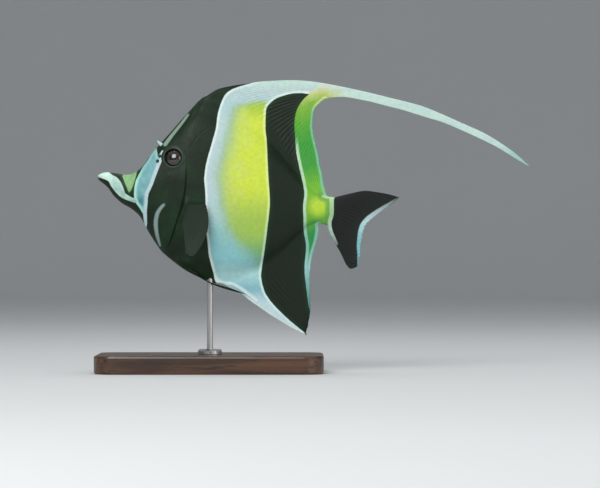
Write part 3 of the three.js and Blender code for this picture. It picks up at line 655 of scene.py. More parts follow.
def paint_fields(x, z, fields):
    """Distances in millimetres to the edges of the markings and of the painted highlight, for every place of
    the skin.
    """
    painted = {name: fields[name] for name in ("ray", "along", "fin", "streamer", "mouth")}
    for name, (line, start, end, *swells) in PAINTED_LINES.items():
        gap, share = distance_to(x, z, line)
        for swell in swells:
            share = swell(share)
        painted[name] = mix(start, end, share) - gap
    # The white bar's field also carries the painted highlight on the tail root's top edge.
    painted["bar"] = np.maximum(painted["bar"], painted.pop("tail_top_highlight"))
    front = away_from(x, z, BAND_FRONT[::-1])
    set_in = np.clip((front - YELLOW_FROM) / (YELLOW_FULL - YELLOW_FROM), 0, 1)
    low_end = mix(*YELLOW_LOW_END, np.clip(x / YELLOW_LOW_REACH, 0, 1))
    low_fade = smooth(z, *(low_end + part for part in YELLOW_LOW_FADE))
    band = np.vstack([Line(edge).at(np.linspace(0, 1, 140)) for edge in (REAR_BAND_FRONT, REAR_BAND_BACK)])
    on_tail = (x > TAIL_FROM[0]) & (z < TAIL_FROM[1])
    behind_bar = np.where(on_tail, -away_from(x, z, TAIL_BAR), -9)
    return dict(
        painted,
        band_front=front,
        yellow=set_in * low_fade * (1 - smooth(z, *YELLOW_TOP_FADE)),
        rear_band=depth_in(x, z, band),
        behind_band=away_from(x, z, REAR_BAND_BACK[::-1]),
        face=depth_in(x, z, FACE_FRONT + FACE_REAR + FACE_NOTCH),
        face_rear=distance_to(x, z, FACE_REAR)[0],
        snout=depth_in(x, z, rounded(SNOUT_STRIP)),
        saddle=depth_in(x, z, SADDLE),
        tail=np.maximum(6 * fields["caudal"] - 3, behind_bar),
        lateral=distance_to(x, z, LATERAL_LINE)[0],
    )


def two_sided(one, other, quads, inner, fields):
    """Both sides of a sheet as one mesh, joined where its places aren't inner."""
    twin = np.arange(len(one))
    twin[inner] = len(one) + np.arange(inner.sum())
    fields = {name: np.concatenate([values, values[inner]]) for name, values in fields.items()}
    return np.vstack([one, other[inner]]), np.vstack([quads, twin[quads][:, ::-1]]), fields


def linked(name, data):
    thing = bpy.data.objects.new(name, data)
    bpy.context.scene.collection.objects.link(thing)
    return thing


def make_mesh(name, points, faces, material, fields=None):
    """A smooth-shaded object from places in metres and faces."""
    mesh = bpy.data.meshes.new(name)
    mesh.from_pydata(points.tolist(), [], [list(map(int, face)) for face in faces])
    mesh.polygons.foreach_set("use_smooth", [True] * len(mesh.polygons))
    for field, values in (fields or {}).items():
        mesh.attributes.new(field, "FLOAT", "POINT").data.foreach_set("value", values.astype(np.float32))
    mesh.materials.append(material)
    mesh.update()
    return linked(name, mesh)


def raised(points):
    """Places in metres over the floor, from millimetres round the middle of the body's height."""
    return (points + (0, 0, BODY_HEIGHT)) * MM


def belongs(piece, slot, *nodes):
    """The piece rides on the model and stands for its nodes; the slot is not used."""
    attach(piece, "root")
    if nodes:
        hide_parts(*nodes)


def skin(material):
    """One closed skin over body, median fins and streamer."""
    sheet = Sheet()
    number, stations = body_grid(sheet)
    dorsal_fin(sheet, number, stations)
    anal_fin(sheet, number, stations)
    caudal_fin(sheet, number)
    fields, quads, rim = sheet.finished()
    x, z, radius = fields["x"], fields["z"], fields["radius"]
    spots = np.column_stack([x[rim], z[rim]])
    near = nearest(x, z, spots)
    edge = np.hypot(x - spots[near, 0], z - spots[near, 1])
    turn = np.clip(edge / np.maximum(radius, 1e-6), 0, 1)
    half = np.where(rim, 0, fields["half"] * np.sqrt(1 - (1 - turn) ** 2))
    left, right = (np.column_stack([x, fields["lean"] + side * half, z]) for side in (-1, 1))
    points, faces, painted = two_sided(left, right, quads, ~rim, paint_fields(x, z, fields))
    piece = make_mesh("skin", raised(points), faces, material, painted)
    belongs(
        piece, "skin_yellow", "snout", "lower_jaw", "head", "gill_cover_left", "gill_cover_right", "trunk",
        "tail_base", "dorsal_fin", "dorsal_streamer_base", "dorsal_streamer_tip", "anal_fin", "caudal_fin",
    )


def srgb(red, green, blue):
    """A screen colour of 0 to 255 as linear light."""
    channels = [c / 255 for c in (red, green, blue)]
    return (*(c / 12.92 if c <= 0.04045 else ((c + 0.055) / 1.055) ** 2.4 for c in channels), 1)


class Graph:
    """Short ways to build a material from numbers, colours, fields' names, nodes and their outputs."""

    def __init__(self, name):
        self.material = bpy.data.materials.new(name)
        self.material.use_nodes = True
        self.tree = self.material.node_tree
        self.place = self.node("ShaderNodeTexCoord").outputs["Object"]

    def put(self, value, socket):
        if isinstance(value, str):
            value = self.node("ShaderNodeAttribute", attribute_name=value).outputs["Fac"]
        elif isinstance(value, bpy.types.Node):
            value = value.outputs[0]
        if isinstance(value, bpy.types.NodeSocket):
            self.tree.links.new(value, socket)
        else:
            socket.default_value = value

    def node(self, kind, *values, **named):
        """A new node. Values go to its first sockets, and names with a capital are sockets too."""
        node = self.tree.nodes.new(kind)
        for name, value in named.items():
            if name[0].isupper():
                self.put(value, node.inputs[name])
            else:
                setattr(node, name, value)
        for value, socket in zip(values, node.inputs):
            self.put(value, socket)
        return node

    def finish(self, **sockets):
        """Sets the shader's sockets and gives the material."""
        shader = self.tree.nodes["Principled BSDF"]
        for name, value in sockets.items():
            self.put(value, shader.inputs[name.replace("_", " ")])
        return self.material

    def side_view(self):
        """Millimetres from the rod and from the middle of the body's height."""
        parts = self.node("ShaderNodeSeparateXYZ", self.place).outputs
        z = self.math("MULTIPLY_ADD", parts["Z"], 1000, -BODY_HEIGHT)
        return self.math("MULTIPLY", parts["X"], 1000), z

    def math(self, operation, *values):
        return self.node("ShaderNodeMath", *values, operation=operation)

    def length(self, *values):
        squares = [self.math("MULTIPLY", value, value) for value in values]
        return self.math("SQRT", self.math("ADD", *squares))

    def wave(self, value, rate, start=0.0):
        return self.math("SINE", self.math("MULTIPLY_ADD", value, rate, start))

    def both(self, one, other, share=1.0):
        """Product of two masks, times a share."""
        product = self.math("MULTIPLY", one, other)
        return product if share == 1.0 else self.math("MULTIPLY", product, share)

    def step(self, value, at=0.0, soft=0.3, low=0.0, high=1.0):
        """From low to high as the value passes a threshold."""
        limits = (at - soft, at + soft, low, high)
        return self.node("ShaderNodeMapRange", value, *limits, interpolation_type="SMOOTHSTEP")

    def mix(self, factor, below, above):
        node = self.node("ShaderNodeMix", data_type="RGBA")
        for value, number in ((factor, 0), (below, 6), (above, 7)):
            self.put(value, node.inputs[number])
        return node.outputs[2]

    def over(self, below, above, value, *limits):
        """One colour laid over another as the value passes a threshold."""
        return self.mix(self.step(value, *limits), below, above)

    def stirred(self, value, noise, amount):
        """The value moved up and down by a noise."""
        lowered = self.math("SUBTRACT", value, amount / 2)
        return self.math("MULTIPLY_ADD", self.step(noise, 0.5, 0.3), amount, lowered)

    def patch(self, place, middle, wander, reach, soft, high):
        """A soft round patch of the side view."""
        distance = self.length(*(self.math("SUBTRACT", value, at) for value, at in zip(place, middle)))
        return self.step(self.math("ADD", distance, wander), reach, soft, high, 0)

    def noise(self, scale, detail=3.0, stretch=(1, 1, 1), place=None, distortion=0.0):
        place = self.place if place is None else place
        place = self.node("ShaderNodeMapping", Vector=place, Scale=stretch)
        sockets = dict(Vector=place, Scale=scale, Detail=detail, Distortion=distortion)
        return self.node("ShaderNodeTexNoise", **sockets)

    def cells(self, scale):
        return self.node("ShaderNodeTexVoronoi", Vector=self.place, Scale=scale)

    def ramp(self, value, stops):
        """Colour by value. Each stop is the value, red, green and blue."""
        low, high = stops[0][0], stops[-1][0]
        share = self.node("ShaderNodeMapRange", value, low, high, 0.0, 1.0)
        node = self.node("ShaderNodeValToRGB", share)
        elements = node.color_ramp.elements
        while len(elements) < len(stops):
            elements.new(0.5)
        for element, (at, *colour) in zip(elements, stops):
            element.position = (at - low) / (high - low)
            element.color = srgb(*colour)
        return node

    def bump(self, height, strength, distance, **normal):
        return self.node("ShaderNodeBump", Height=height, Strength=strength, Distance=distance, **normal)


# Colours of the skin.
BLACK = srgb(14, 31, 13)
BLACK_GREEN = srgb(18, 50, 25)
BAND_BLACK = srgb(15, 30, 15)
TAIL_BLACK = srgb(16, 23, 20)
BRIGHT = srgb(220, 236, 230)
LEMON_RIM = srgb(222, 234, 150)
PALE_LEMON = srgb(206, 226, 150)
MINT_RIM = srgb(186, 218, 180)
ICE_RIM = srgb(214, 242, 236)
FACE_BLUE = srgb(108, 162, 170)
FACE_MINT = srgb(146, 198, 190)
FACE_BRIGHT = srgb(174, 226, 208)
FACE_LILAC = srgb(186, 208, 214)
DEEP_BLUE = srgb(66, 126, 140)
SNOUT_BRIGHT = srgb(202, 234, 218)
SNOUT_WHITE = srgb(184, 218, 200)
SNOUT_SHADE = srgb(150, 184, 180)
SADDLE_GREEN = srgb(142, 186, 128)
SADDLE_SHADE = srgb(116, 162, 104)
SADDLE_EDGE = srgb(26, 66, 34)
LINE_PALE = srgb(138, 162, 146)
LINE_GREY = srgb(132, 154, 150)
STREAMER_WHITE = srgb(198, 224, 212)
STREAMER_SHADE = srgb(176, 204, 210)
STREAMER_TIP = srgb(140, 188, 182)
BAR_SHADE = srgb(104, 152, 78)
MARGIN_MINT = srgb(130, 200, 158)
YELLOW_PALE = srgb(200, 216, 112)
TAIL_YELLOW = srgb(184, 216, 64)
DARK_SAGE = srgb(150, 188, 84)
LOW_GREEN = srgb(124, 178, 110)
OLIVE = srgb(160, 196, 52)
# Painted shade inside the mouth and on the lips' parting.
MOUTH_SHADE = srgb(46, 34, 32)

# Colours by height in millimetres, and yellow by how far it has set in: value, red, green, blue.
# Between about -52 and -44 the pearl is lighter: painted light for the shaded crease where the flank turns
# down into the anal fin.
PEARL_STOPS = [
    (-92, 204, 226, 230), (-72, 198, 222, 228), (-62, 134, 186, 198), (-52, 172, 216, 216),
    (-44, 140, 196, 202), (-34, 134, 190, 196), (-24, 144, 194, 196), (-12, 176, 210, 208),
    (4, 184, 206, 210), (46, 184, 206, 206), (58, 174, 204, 208), (68, 184, 206, 206), (74, 196, 222, 212),
]
YELLOW_STOPS = [
    (0.0, 164, 196, 174), (0.3, 154, 187, 138), (0.55, 184, 206, 118), (0.8, 200, 218, 84),
    (1.0, 205, 222, 68),
]
REAR_STOPS = [
    (-74, 134, 186, 196), (-52, 126, 176, 182), (-43, 80, 157, 130), (-36, 42, 139, 74), (-23, 50, 142, 72),
    (-15, 100, 172, 58), (-6, 128, 182, 58), (4, 116, 184, 54), (20, 66, 156, 60), (36, 60, 156, 58),
    (48, 88, 166, 48), (60, 132, 182, 66), (67, 196, 206, 128), (71, 206, 218, 204),
]
LOW_MARGIN_STOPS = [(-72, 90, 150, 142), (-60, 116, 172, 168), (-48, 158, 204, 202), (-34, 132, 188, 168)]
MARGIN_STOPS = [
    (-46, 140, 190, 194), (-30, 126, 184, 190), (-18, 176, 212, 214), (-12, 166, 188, 190),
    (-7, 142, 162, 158), (-2, 104, 122, 112),
]
# Colours of the white bar at the tail's root, also used for the painted highlight along the root's top edge.
BAR_AND_HIGHLIGHT_STOPS = [
    (-33, 104, 126, 112), (-28, 150, 172, 160), (-22, 180, 206, 192), (-13, 156, 194, 142),
    (-2, 172, 210, 156),
]

# Corners of the yellow zone: where each sets in along and up, its share and its colour.
YELLOW_CORNERS = [
    ((12, 9), (-5, 14, 1, 0), 0.8, DARK_SAGE), ((20, 8), (-32, 8, 1, 0), 1.0, LOW_GREEN),
    ((24, 5), (53, 5), 0.7, OLIVE),
]
PALE_EDGES = [("band_front", 1.5, 0.6, 0.85, 0), ("anal_edge", 0, 0.7, 0, 0.8), ("belly_rim", 0, 0.5, 0, 0.8)]


def pale_zone(g, x, z):
    """The broad pale band: pearl in front, lemon yellow behind, ice blue below."""
    level = g.stirred("yellow", g.noise(75, 3.0, (1, 1, 0.5)), 0.1)
    level = g.stirred(level, g.noise(260, 4.0, (1, 1, 0.2)), 0.08)
    yellow = g.ramp(level, YELLOW_STOPS)
    pale = g.both(g.step(g.noise(140), 0.5, 0.2), g.step(level, 0.7, 0.2), 0.6)
    yellow = g.mix(g.both(pale, g.step(x, 30, 10, 1, 0)), yellow, YELLOW_PALE)
    for along, up, share, colour in YELLOW_CORNERS:
        yellow = g.mix(g.both(g.step(x, *along), g.step(z, *up), share), yellow, colour)
    zone = g.over(g.ramp(z, PEARL_STOPS), yellow, level, 0.26, 0.26)
    for name, *limits in PALE_EDGES:
        zone = g.over(zone, BRIGHT, name, *limits)
    rim = g.over(LEMON_RIM, BRIGHT, z, 56, 6)
    rim = g.over(MINT_RIM, rim, z, -16, 14)
    rim = g.over(ICE_RIM, rim, z, -40, 8)
    return g.over(zone, rim, "rear_band", -1.5, 0.5, 0, 0.85)


def green_zone(g, x, z, wander):
    """Behind the second band: green over yellow over blue, with pale margins."""
    zone = g.ramp(g.stirred(z, g.noise(90, 3.0, (1, 1, 0.4)), 6.0), REAR_STOPS)
    zone = g.mix(g.patch((x, z), TAIL_GLOW, wander, 5.5, 3.5, 0.95), zone, TAIL_YELLOW)
    zone = g.over(zone, BAR_SHADE, "bar", -2.6, 1.0, 0, 0.6)
    zone = g.over(zone, g.over(MARGIN_MINT, PALE_LEMON, z, 58, 6), "dorsal_edge", 0, 0.6, 0, 0.85)
    low_margin = g.ramp(z, LOW_MARGIN_STOPS)
    zone = g.over(zone, low_margin, "anal_rear_edge", 0, 0.6, 0, 0.9)
    line = g.both(g.step("behind_band", 1.9, 0.5, 1, 0), g.step(z, 34, 6, 1, 0))
    return g.mix(line, zone, g.over(low_margin, MINT_RIM, z, -18, 12))


def face_markings(g, x, z, colour, wander):
    """Blue face, pale snout and green saddle, laid over the black of the head."""
    face = g.over(FACE_BLUE, FACE_MINT, g.noise(300), 0.5, 0.25, 0, 0.45)
    face = g.mix(g.patch((x, z), FACE_DEEP, wander, 3.0, 2.6, 0.9), face, DEEP_BLUE)
    face = g.over(face, g.over(FACE_BRIGHT, FACE_MINT, z, 14, 8), "face", 1.7, 0.9, 0.95, 0)
    face = g.over(face, FACE_LILAC, "face_rear", 2.3, 0.9, 0.95, 0)
    snout = g.over(SNOUT_WHITE, SNOUT_SHADE, g.noise(210), 0.52, 0.12)
    snout = g.over(SNOUT_BRIGHT, snout, x, -64.5, 3.5)
    # The rear middle of the snout strip is pulled towards SNOUT_SHADE: painted shade at the step between the
    # strip's upper and lower parts.
    snout = g.mix(g.both(g.step("snout", 1.4, 0.7), g.step(x, -61, 2.5), 0.55), snout, SNOUT_SHADE)
    saddle = g.over(SADDLE_GREEN, SADDLE_SHADE, g.noise(420, 3.0, (1, 1, 0.35)), 0.5, 0.2, 0, 0.7)
    colour = g.over(colour, SADDLE_EDGE, "saddle", -1.2, 1.0, 0, 0.7)
    for name, paint in (("face", face), ("snout", snout), ("saddle", saddle)):
        colour = g.over(colour, paint, g.math("ADD", name, wander))
    return colour


def skin_colour(g):
    """All markings, with the painted highlight on the tail's root and the painted shade in the mouth, each
    laid over those before it.
    """
    x, z = g.side_view()
    wander = g.math("MULTIPLY_ADD", g.noise(450), 0.36, -0.18)

    def laid(paint, name, soft=0.25, high=1.0, at=0.0):
        return g.over(colour, paint, g.math("ADD", name, wander), at, soft, 0, high)

    colour = g.over(BLACK, BLACK_GREEN, g.noise(60), 0.58, 0.2)
    colour = laid(pale_zone(g, x, z), "band_front")
    colour = laid(green_zone(g, x, z, wander), "behind_band", at=-0.8)
    colour = laid(g.over(BAND_BLACK, BLACK_GREEN, "rear_band", 2.0, 1.5, 0.6, 0), "rear_band")
    streamer = g.over(STREAMER_WHITE, STREAMER_SHADE, g.noise(90, 2.0, (0.4, 1, 1.5)), 0.55, 0.2, 0, 0.5)
    streamer = g.over(streamer, STREAMER_TIP, "streamer", 0.9, 0.12)
    colour = g.over(colour, streamer, "streamer", 0.06, 0.06)
    on_tail = g.step("tail")
    colour = g.mix(on_tail, colour, TAIL_BLACK)
    margin = g.step(g.math("ADD", "tail_edge", wander), 0.0, 0.5)
    colour = g.mix(g.both(margin, on_tail), colour, g.ramp(z, MARGIN_STOPS))
    # The white bar at the tail's root, with the painted highlight along the root's top edge.
    colour = laid(g.ramp(z, BAR_AND_HIGHLIGHT_STOPS), "bar")
    colour = face_markings(g, x, z, colour, wander)
    colour = laid(LINE_PALE, "forehead", 0.5, 0.95)
    colour = laid(LINE_GREY, "chest", 0.6, 0.95)
    # Painted shade darkens the inside of the mouth and the lips' parting.
    return g.mix("mouth", colour, MOUTH_SHADE)


def skin_material():
    g = Graph("painted_skin")
    rays = g.both(g.wave("ray", 2 * math.pi), "fin")
    shade = g.math("MULTIPLY_ADD", rays, 0.045, g.step(g.noise(420), 0.5, 0.4, 0.9, 1.06))
    scales = g.bump(g.cells(1500), 0.4, 0.00018)
    combed = g.bump(g.both(g.wave("ray", 8 * math.pi), "fin"), 0.25, 0.00006, Normal=scales)
    pores = g.bump(g.step("lateral", 0.5, 0.4), 0.5, 0.00015, Normal=combed)
    return g.finish(
        Base_Color=g.node("ShaderNodeVectorMath", skin_colour(g), operation="SCALE", Scale=shade),
        Roughness=g.step(g.noise(500), 0.5, 0.4, 0.42, 0.56),
        Normal=g.bump(g.noise(160), 0.2, 0.0004, Normal=pores),
        Specular_IOR_Level=0.25, Subsurface_Weight=0.04, Subsurface_Scale=0.0015,
    )


def skin_normal(x, z):
    """Direction that the left side's skin faces at a place of the side view."""
    reach = 1.5
    ahead = half_width_at(x + reach, z) - half_width_at(x - reach, z)
    above = half_width_at(x, z + reach) - half_width_at(x, z - reach)
    return Vector((-float(ahead) / (2 * reach), -1, -float(above) / (2 * reach))).normalized()


def facing(normal):
    """Axes over a place whose skin faces along normal: across, up and out."""
    across = Vector((0, 0, 1)).cross(normal).normalized()
    return np.array([across, normal.cross(across), normal])


def around(sides):
    """Angles of a ring's places."""
    return 2 * np.pi * np.arange(sides) / sides


def ring_faces(rings, sides, joined=False):
    """Quads from each ring of places to the next, and from the last to the first if they are joined."""
    number = np.arange(rings * sides).reshape(rings, sides)
    number = np.vstack([number, number[:1]]) if joined else number
    return grid_quads(np.hstack([number, number[:, :1]]))[:, [0, 3, 2, 1]].tolist()


def turned(profile, place, axes, sides=72, capped=True):
    """A profile of radius and height turned round the axis at a place, closed at its last point."""
    radius, height = np.array(profile, float).T[..., None]
    angle = around(sides)
    rings = np.stack(np.broadcast_arrays(radius * np.cos(angle), radius * np.sin(angle), height), -1)[:-1]
    local = np.vstack([rings.reshape(-1, 3), (0, 0, profile[-1][1])])
    tip = len(local) - 1
    start = tip - sides
    faces = ring_faces(len(rings), sides)
    faces += [(start + k, start + (k + 1) % sides, tip) for k in range(sides)]
    if capped:
        faces.append(tuple(range(sides))[::-1])
    return np.array(place) + local @ axes, faces, dict(out_x=local[:, 0], out_z=local[:, 1])


def both_sides(name, node, slot, points, faces, material, fields=None):
    """The left piece and its mirror image, each standing for its node if it has one."""
    for side, sign in (("left", 1), ("right", -1)):
        placed = raised(points * (1, sign, 1))
        piece = make_mesh(f"{name}_{side}", placed, [face[::sign] for face in faces], material, fields)
        belongs(piece, slot, *([f"{node}_{side}"] if node else []))


EYEBALL_RADIUS = 6.0
EYEBALL_DEPTH = 4.2
PUPIL_RADIUS = 2.6
IRIS_RING = 2.75
IRIS_EDGE = 5.0
ORBIT_SIDES = 96
ORBIT_PROFILE = [
    (8.3, -0.5), (7.8, 0.05), (7.2, 0.34), (6.7, 0.55), (6.25, 0.6), (5.9, 0.45), (5.65, 0.05), (5.5, -0.8),
    (5.4, -2.4),
]


def eyes(material):
    x, z, front = eye_place()
    normal = skin_normal(x, z)
    middle = np.array((x, -front, z)) - np.array(normal) * EYEBALL_DEPTH
    angle = np.linspace(np.pi * 0.6, 0, 36)
    profile = [(EYEBALL_RADIUS * math.sin(a), EYEBALL_DEPTH * math.cos(a)) for a in angle]
    points, faces, fields = turned(profile, middle, facing(normal))
    both_sides("eyeball", "eye", "eye", points, faces, material, fields)


def orbits(material):
    """A soft ring of skin round each eye, laid on the curve of the head."""
    eye_x, eye_z, _ = eye_place()
    angle = around(ORBIT_SIDES)
    radius, height = np.array(ORBIT_PROFILE).T[..., None]
    x, z = eye_x + radius * np.cos(angle), eye_z + radius * np.sin(angle)
    points = np.stack([x, -(half_width_at(x, z) + height), z], -1).reshape(-1, 3)
    faces = ring_faces(len(ORBIT_PROFILE), ORBIT_SIDES, joined=True)
    both_sides("orbit", None, "skin_black", points, faces, material)


NOSTRILS = [(-32.8, 25.4), (-34.2, 22.2)]
NOSTRIL_PROFILE = [
    (1.35, -0.4), (1.15, 0.08), (0.98, 0.27), (0.8, 0.34), (0.62, 0.28), (0.5, 0.16), (0.25, 0.13),
    (0, 0.13),
]


def nostrils(material):
    for number, (x, z) in enumerate(NOSTRILS):
        place = (x, -float(half_width_at(x, z)), z)
        points, faces, fields = turned(NOSTRIL_PROFILE, place, facing(skin_normal(x, z)), 40)
        both_sides(f"nostril_{number + 1}", None, "skin_black", points, faces, material, fields)


HORN_ROOT = (-30.6, -3.4, 32)
HORN_DIRECTION = (-0.78, -0.3, 0.55)
HORN_LENGTH = 5.8
HORN_RADIUS = 1.45
HORN_CURL = 0.8
HORN_END = 0.985
HORN_FLUTES = 8
HORN_FLUTE = 0.06
HORN_SIDES = 32
HORN_RINGS = 24


def horns(material):
    """A short fluted spur over the front of each eye."""
    axes = facing(Vector(HORN_DIRECTION).normalized())
    angle = around(HORN_SIDES)[:, None]
    t = np.linspace(0, HORN_END, HORN_RINGS)[:, None, None]
    middle = np.array(HORN_ROOT) + t * HORN_LENGTH * axes[2] + HORN_CURL * t * t * axes[1]
    flutes = 1 + HORN_FLUTE * np.cos(HORN_FLUTES * angle) * (1 - t)
    radius = (HORN_RADIUS * (1 - t**1.6) ** 0.8 + 0.35 * bell(t - 0.12, 0.06)) * flutes
    points = middle + radius * (np.cos(angle) * axes[0] + np.sin(angle) * axes[1])
    faces = ring_faces(HORN_RINGS, HORN_SIDES)
    faces += [tuple(range(HORN_SIDES))[::-1], tuple(range(len(faces), len(faces) + HORN_SIDES))]
    along = np.repeat(t.ravel(), HORN_SIDES)
    both_sides("horn_spur", "horn", "horn", points.reshape(-1, 3), faces, material, dict(along=along))


PAIRED_STEPS = 44
PAIRED_TIP_HALF = 0.28
PAIRED_NOTCH = 0.3
PAIRED_RAGGED = 0.2
PAIRED_BRANCHES = (0.6, 0.85)
PAIRED_RIDGE_OF_SPACING = 0.45
PAIRED_RIDGE_RISES = (0.02, 0.2)
PECTORAL_TIPS = [(-2, -6.5), (-0.3, -15), (-1.2, -25), (-5, -34.5), (-10.5, -41), (-15.5, -39)]
PECTORAL_RAYS = 18
PELVIC_TIPS = [(25.5, -66), (22, -64.6), (17, -62.6), (12, -61), (7, -60)]
PELVIC_RAYS = 6
KEEL_HALF = 1.9
PECTORAL_SUNK = 1
PECTORAL_LIFT = 1.4
PECTORAL_LIFT_REACH = 1.5
PECTORAL_SPREAD = 0.38
PELVIC_SAG = (5.2, 3.6)
PELVIC_OUT = (-1.3, 0.75)
PELVIC_EMERGES = (0, 0.3)


def blade(middle, half, **fields):
    """Places, faces and fields of a thin blade, closed along its edges, round a grid of places."""
    normal = np.cross(np.gradient(middle, axis=0), np.gradient(middle, axis=1))
    normal /= np.linalg.norm(normal, axis=2)[..., None]
    inner = np.zeros(half.shape, bool)
    inner[1:-1, 1:-1] = True
    offset = normal * np.where(inner, half, 0)[..., None]
    one, other = ((middle + side * offset).reshape(-1, 3) for side in (1, -1))
    quads = grid_quads(np.arange(half.size).reshape(half.shape))
    fields = {name: np.broadcast_to(values, half.shape).ravel() for name, values in fields.items()}
    return two_sided(one, other, quads, inner.ravel(), fields)


def paired_fin(name, root, tips, rays, root_half, shape, material):
    """A fin on each side: rays from its root to the margin, and a shape that says where they run."""
    columns = np.arange(rays * RAY_COLUMNS + 1)
    share = columns[:, None] / columns[-1]
    start, end = mix(*np.array(root, float), share), Line(tips).along(share[:, 0])
    notch = notches(columns, PAIRED_NOTCH, PAIRED_RAGGED)[:, None]
    end = end - (end - start) / np.linalg.norm(end - start, axis=1)[:, None] * notch
    along = np.arange(PAIRED_STEPS + 1) / PAIRED_STEPS
    x, z = (mix(start[:, n : n + 1], end[:, n : n + 1], along) for n in (0, 1))
    height = ridge_height(x, z, PAIRED_RIDGE_OF_SPACING) * smooth(along, *PAIRED_RIDGE_RISES)
    fork = np.where(columns % 2 == 1, 1.0, -1.0)[:, None]
    profile = mix(crest(columns)[:, None], fork, smooth(along, *PAIRED_BRANCHES) * (share > 1 / rays))
    half = mix(root_half, PAIRED_TIP_HALF, along) + profile * height * RIDGE_SHARE
    out, down = shape(x, z, start, along, share)
    points, faces, fields = blade(
        np.stack([x, -out, down], -1), half, ray=columns[:, None] / RAY_COLUMNS, along=along
    )
    both_sides(f"{name}_rays", name, "fin_dark", points, faces, material, fields)


def pectoral_shape(x, z, start, along, share):
    """Stands off the skin at its own root, further out away from it."""
    root_x, root_z = start.T[..., None]
    distance = np.hypot(x - root_x, z - root_z)
    lift = PECTORAL_LIFT * (1 - np.exp(-distance / PECTORAL_LIFT_REACH))
    lifted = lift + PECTORAL_SPREAD * distance - PECTORAL_SUNK
    return half_width_at(root_x, root_z) + lifted, z


def pelvic_shape(x, z, start, along, share):
    """Hangs along the keel and follows the skin's curve."""
    z = z - mix(*PELVIC_SAG, share) * np.sin(np.pi * along**0.75)
    out = mix(*PELVIC_OUT, smooth(along, *PELVIC_EMERGES))
    return np.maximum(half_width_at(x, z), KEEL_HALF) + out, z


def eye_material():
    """Dark brown iris with fine spokes, a black pupil and a wet gloss."""
    g = Graph("glass_eye")
    radius = g.length("out_x", "out_z")
    direction = [g.math("DIVIDE", part, radius) for part in ("out_x", "out_z")]
    direction = g.node("ShaderNodeCombineXYZ", *direction, g.math("MULTIPLY", radius, 0.06))
    spokes = g.noise(14, 2.0, place=direction)
    iris = g.over(srgb(22, 16, 13), srgb(44, 29, 21), spokes, 0.5, 0.2)
    iris = g.over(iris, srgb(24, 22, 20), radius, IRIS_EDGE, 0.6)
    from_ring = g.math("ABSOLUTE", g.math("SUBTRACT", radius, IRIS_RING))
    iris = g.over(iris, srgb(72, 52, 34), from_ring, 0.16, 0.1, 1, 0)
    return g.finish(
        Base_Color=g.over(srgb(6, 6, 7), iris, radius, PUPIL_RADIUS, 0.08),
        Normal=g.bump(spokes, 0.08, 0.0002), Roughness=0.12, Coat_Weight=1.0, Coat_Roughness=0.03,
    )


def nostril_material():
    g = Graph("nostril_skin")
    radius = g.length("out_x", "out_z")
    # The nostril's opening is a near-black disc: painted shade for the hole.
    opening_shade = g.both(g.step(radius, 0.01, 0.005), g.step(radius, 0.55, 0.1, 1, 0))
    colour = g.mix(opening_shade, g.mix(g.noise(900), BLACK, BLACK_GREEN), srgb(8, 8, 8))
    return g.finish(Base_Color=colour, Roughness=0.45, Normal=g.bump(g.cells(2500), 0.3, 0.00008))


def horn_material():
    g = Graph("bony_spur")
    grain = g.noise(900, 4.0, (1, 1, 0.4))
    colour = g.over(BLACK_GREEN, g.mix(grain, BRIGHT, FACE_MINT), "along", 0.2, 0.12)
    return g.finish(Base_Color=colour, Roughness=0.45, Normal=g.bump(grain, 0.3, 0.0001))


def fin_material():
    """Paired fins: dark rays with smoky membrane between them."""
    g = Graph("smoky_fin")
    membrane = g.mix(g.noise(400), srgb(21, 29, 23), srgb(33, 43, 36))
    ray = g.mix(g.noise(700), BLACK, BLACK_GREEN)
    colour = g.over(membrane, ray, g.wave("ray", 2 * math.pi, -math.pi / 2), 0.1, 0.5)
    grain = g.bump(g.noise(900), 0.2, 0.0001)
    normal = g.bump(g.wave("along", 260), 0.15, 0.00005, Normal=grain)
    return g.finish(Base_Color=colour, Normal=normal, Roughness=0.6, Specular_IOR_Level=0.25)


def wood_material():
    """Dark walnut, grain along the base, satin varnish."""
    g = Graph("walnut")
    rings = g.noise(14, 6, (0.6, 9, 9), distortion=0.6)
    pores = g.noise(700, 2.0, (0.06, 1, 1))
    grain = g.math("MULTIPLY_ADD", g.noise(9, 2.0, (0.5, 1, 1)), 0.35, rings)
    colour = g.over(srgb(54, 34, 22), srgb(94, 62, 40), grain, 0.68, 0.16)
    return g.finish(
        Base_Color=g.over(colour, srgb(34, 21, 14), pores, 0.62, 0.05),
        Roughness=g.step(pores, 0.6, 0.1, 0.34, 0.5), Normal=g.bump(pores, 0.2, 0.0001),
        Coat_Weight=0.25, Coat_Roughness=0.2,
    )


def steel_material():
    g = Graph("brushed_steel")
    brush = g.noise(1500, 2.0, (1, 1, 0.03))
    return g.finish(
        Base_Color=g.mix(brush, srgb(176, 176, 173), srgb(206, 206, 203)), Metallic=1.0, Anisotropic=0.5,
        Roughness=g.step(brush, 0.5, 0.3, 0.24, 0.36), Normal=g.bump(brush, 0.12, 0.00003),
    )


def dress(node, material):
    """Gives a node of the frame a better material."""
    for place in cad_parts[node].material_slots:
        place.material = material


# Lights: name, place in metres, size and power, all turned to one place.
LIT_PLACE = (0.06, 0, 0.1)
LIGHTS = [
    ("key", (-0.5, -1.3, 0.95), 0.9, 17.4), ("fill", (1.2, -1.0, 0.35), 1.0, 6),
    ("top", (0.1, 0.3, 1.4), 0.8, 7),
]
SKY_COLOUR = (0.9, 0.95, 1.0, 1)
SKY_STRENGTH = 0.42


def set_world():
    world = bpy.data.worlds.new("studio")
    bpy.context.scene.world = world
    world.use_nodes = True
    background = world.node_tree.nodes["Background"]
    background.inputs["Color"].default_value = SKY_COLOUR
    background.inputs["Strength"].default_value = SKY_STRENGTH


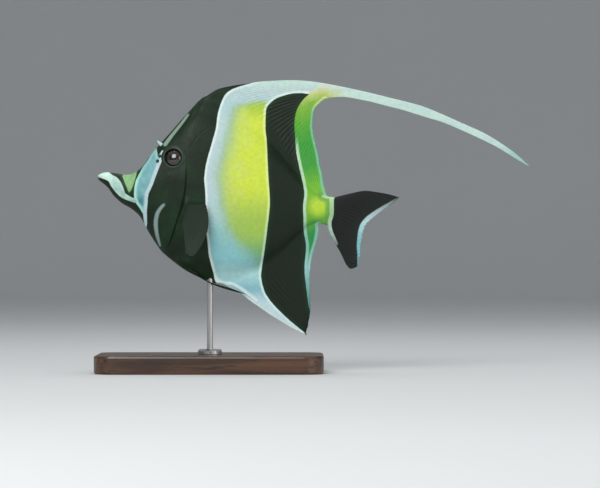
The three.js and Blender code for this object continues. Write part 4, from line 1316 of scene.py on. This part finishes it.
def area_light(name, place, size, power):
    data = bpy.data.lights.new(name, "AREA")
    data.size = size
    data.energy = power
    lamp = linked(name, data)
    lamp.location = place
    lamp.visible_camera = False
    lamp.rotation_euler = (Vector(LIT_PLACE) - Vector(place)).to_track_quat("-Z", "Y").to_euler()


# Camera: square on to the fish's left side, framed as the picture is.
PICTURE_MIDDLE = (59.4, 84.7)
PICTURE_WIDTH = 396
LENS = 200
SENSOR = 36


def set_camera():
    data = bpy.data.cameras.new("camera")
    data.lens = LENS
    data.sensor_width = SENSOR
    camera = linked("camera", data)
    across, up = PICTURE_MIDDLE
    camera.location = np.array([across, -PICTURE_WIDTH * LENS / SENSOR, up]) * MM
    camera.rotation_euler = (math.pi / 2, 0, 0)
    bpy.context.scene.camera = camera


FLOOR_RADIUS = 3.0
FLOOR_RINGS = (0.6, 1.5)
FLOOR_CURVE = 1.5
WALL_TOP = 3.5
FLOOR_COLOURS = [(0.62, 0.63, 0.63, 1), (0.65, 0.66, 0.66, 1)]


def backdrop():
    """A pale round floor that curves up into a wall on every side, open at the top."""
    g = Graph("backdrop")
    material = g.finish(Base_Color=g.mix(g.noise(3), *FLOOR_COLOURS), Roughness=0.9)
    angle = np.linspace(0, math.pi / 2, 25)
    radii = [*FLOOR_RINGS, *(FLOOR_RADIUS + FLOOR_CURVE * np.sin(angle)), FLOOR_RADIUS + FLOOR_CURVE]
    heights = [0, 0, *(FLOOR_CURVE * (1 - np.cos(angle))), WALL_TOP]
    profile = list(zip(radii, heights))[::-1] + [(0, 0)]
    points, faces, _ = turned(profile, (0, 0, 0), np.eye(3), 128, capped=False)
    make_mesh("backdrop", points, faces, material)


set_camera()
set_world()
backdrop()
for light in LIGHTS:
    area_light(*light)
bpy.context.scene.view_settings.view_transform = "Standard"

skin(skin_material())
eyes(eye_material())
dark = nostril_material()
orbits(dark)
nostrils(dark)
horns(horn_material())
smoky = fin_material()
paired_fin("pectoral_fin", PECTORAL_ROOT, PECTORAL_TIPS, PECTORAL_RAYS, 0.9, pectoral_shape, smoky)
paired_fin("pelvic_fin", PELVIC_ROOT, PELVIC_TIPS, PELVIC_RAYS, 0.75, pelvic_shape, smoky)
dress("stand_base", wood_material())
steel = steel_material()
for node in ("stand_collar", "stand_rod"):
    dress(node, steel)
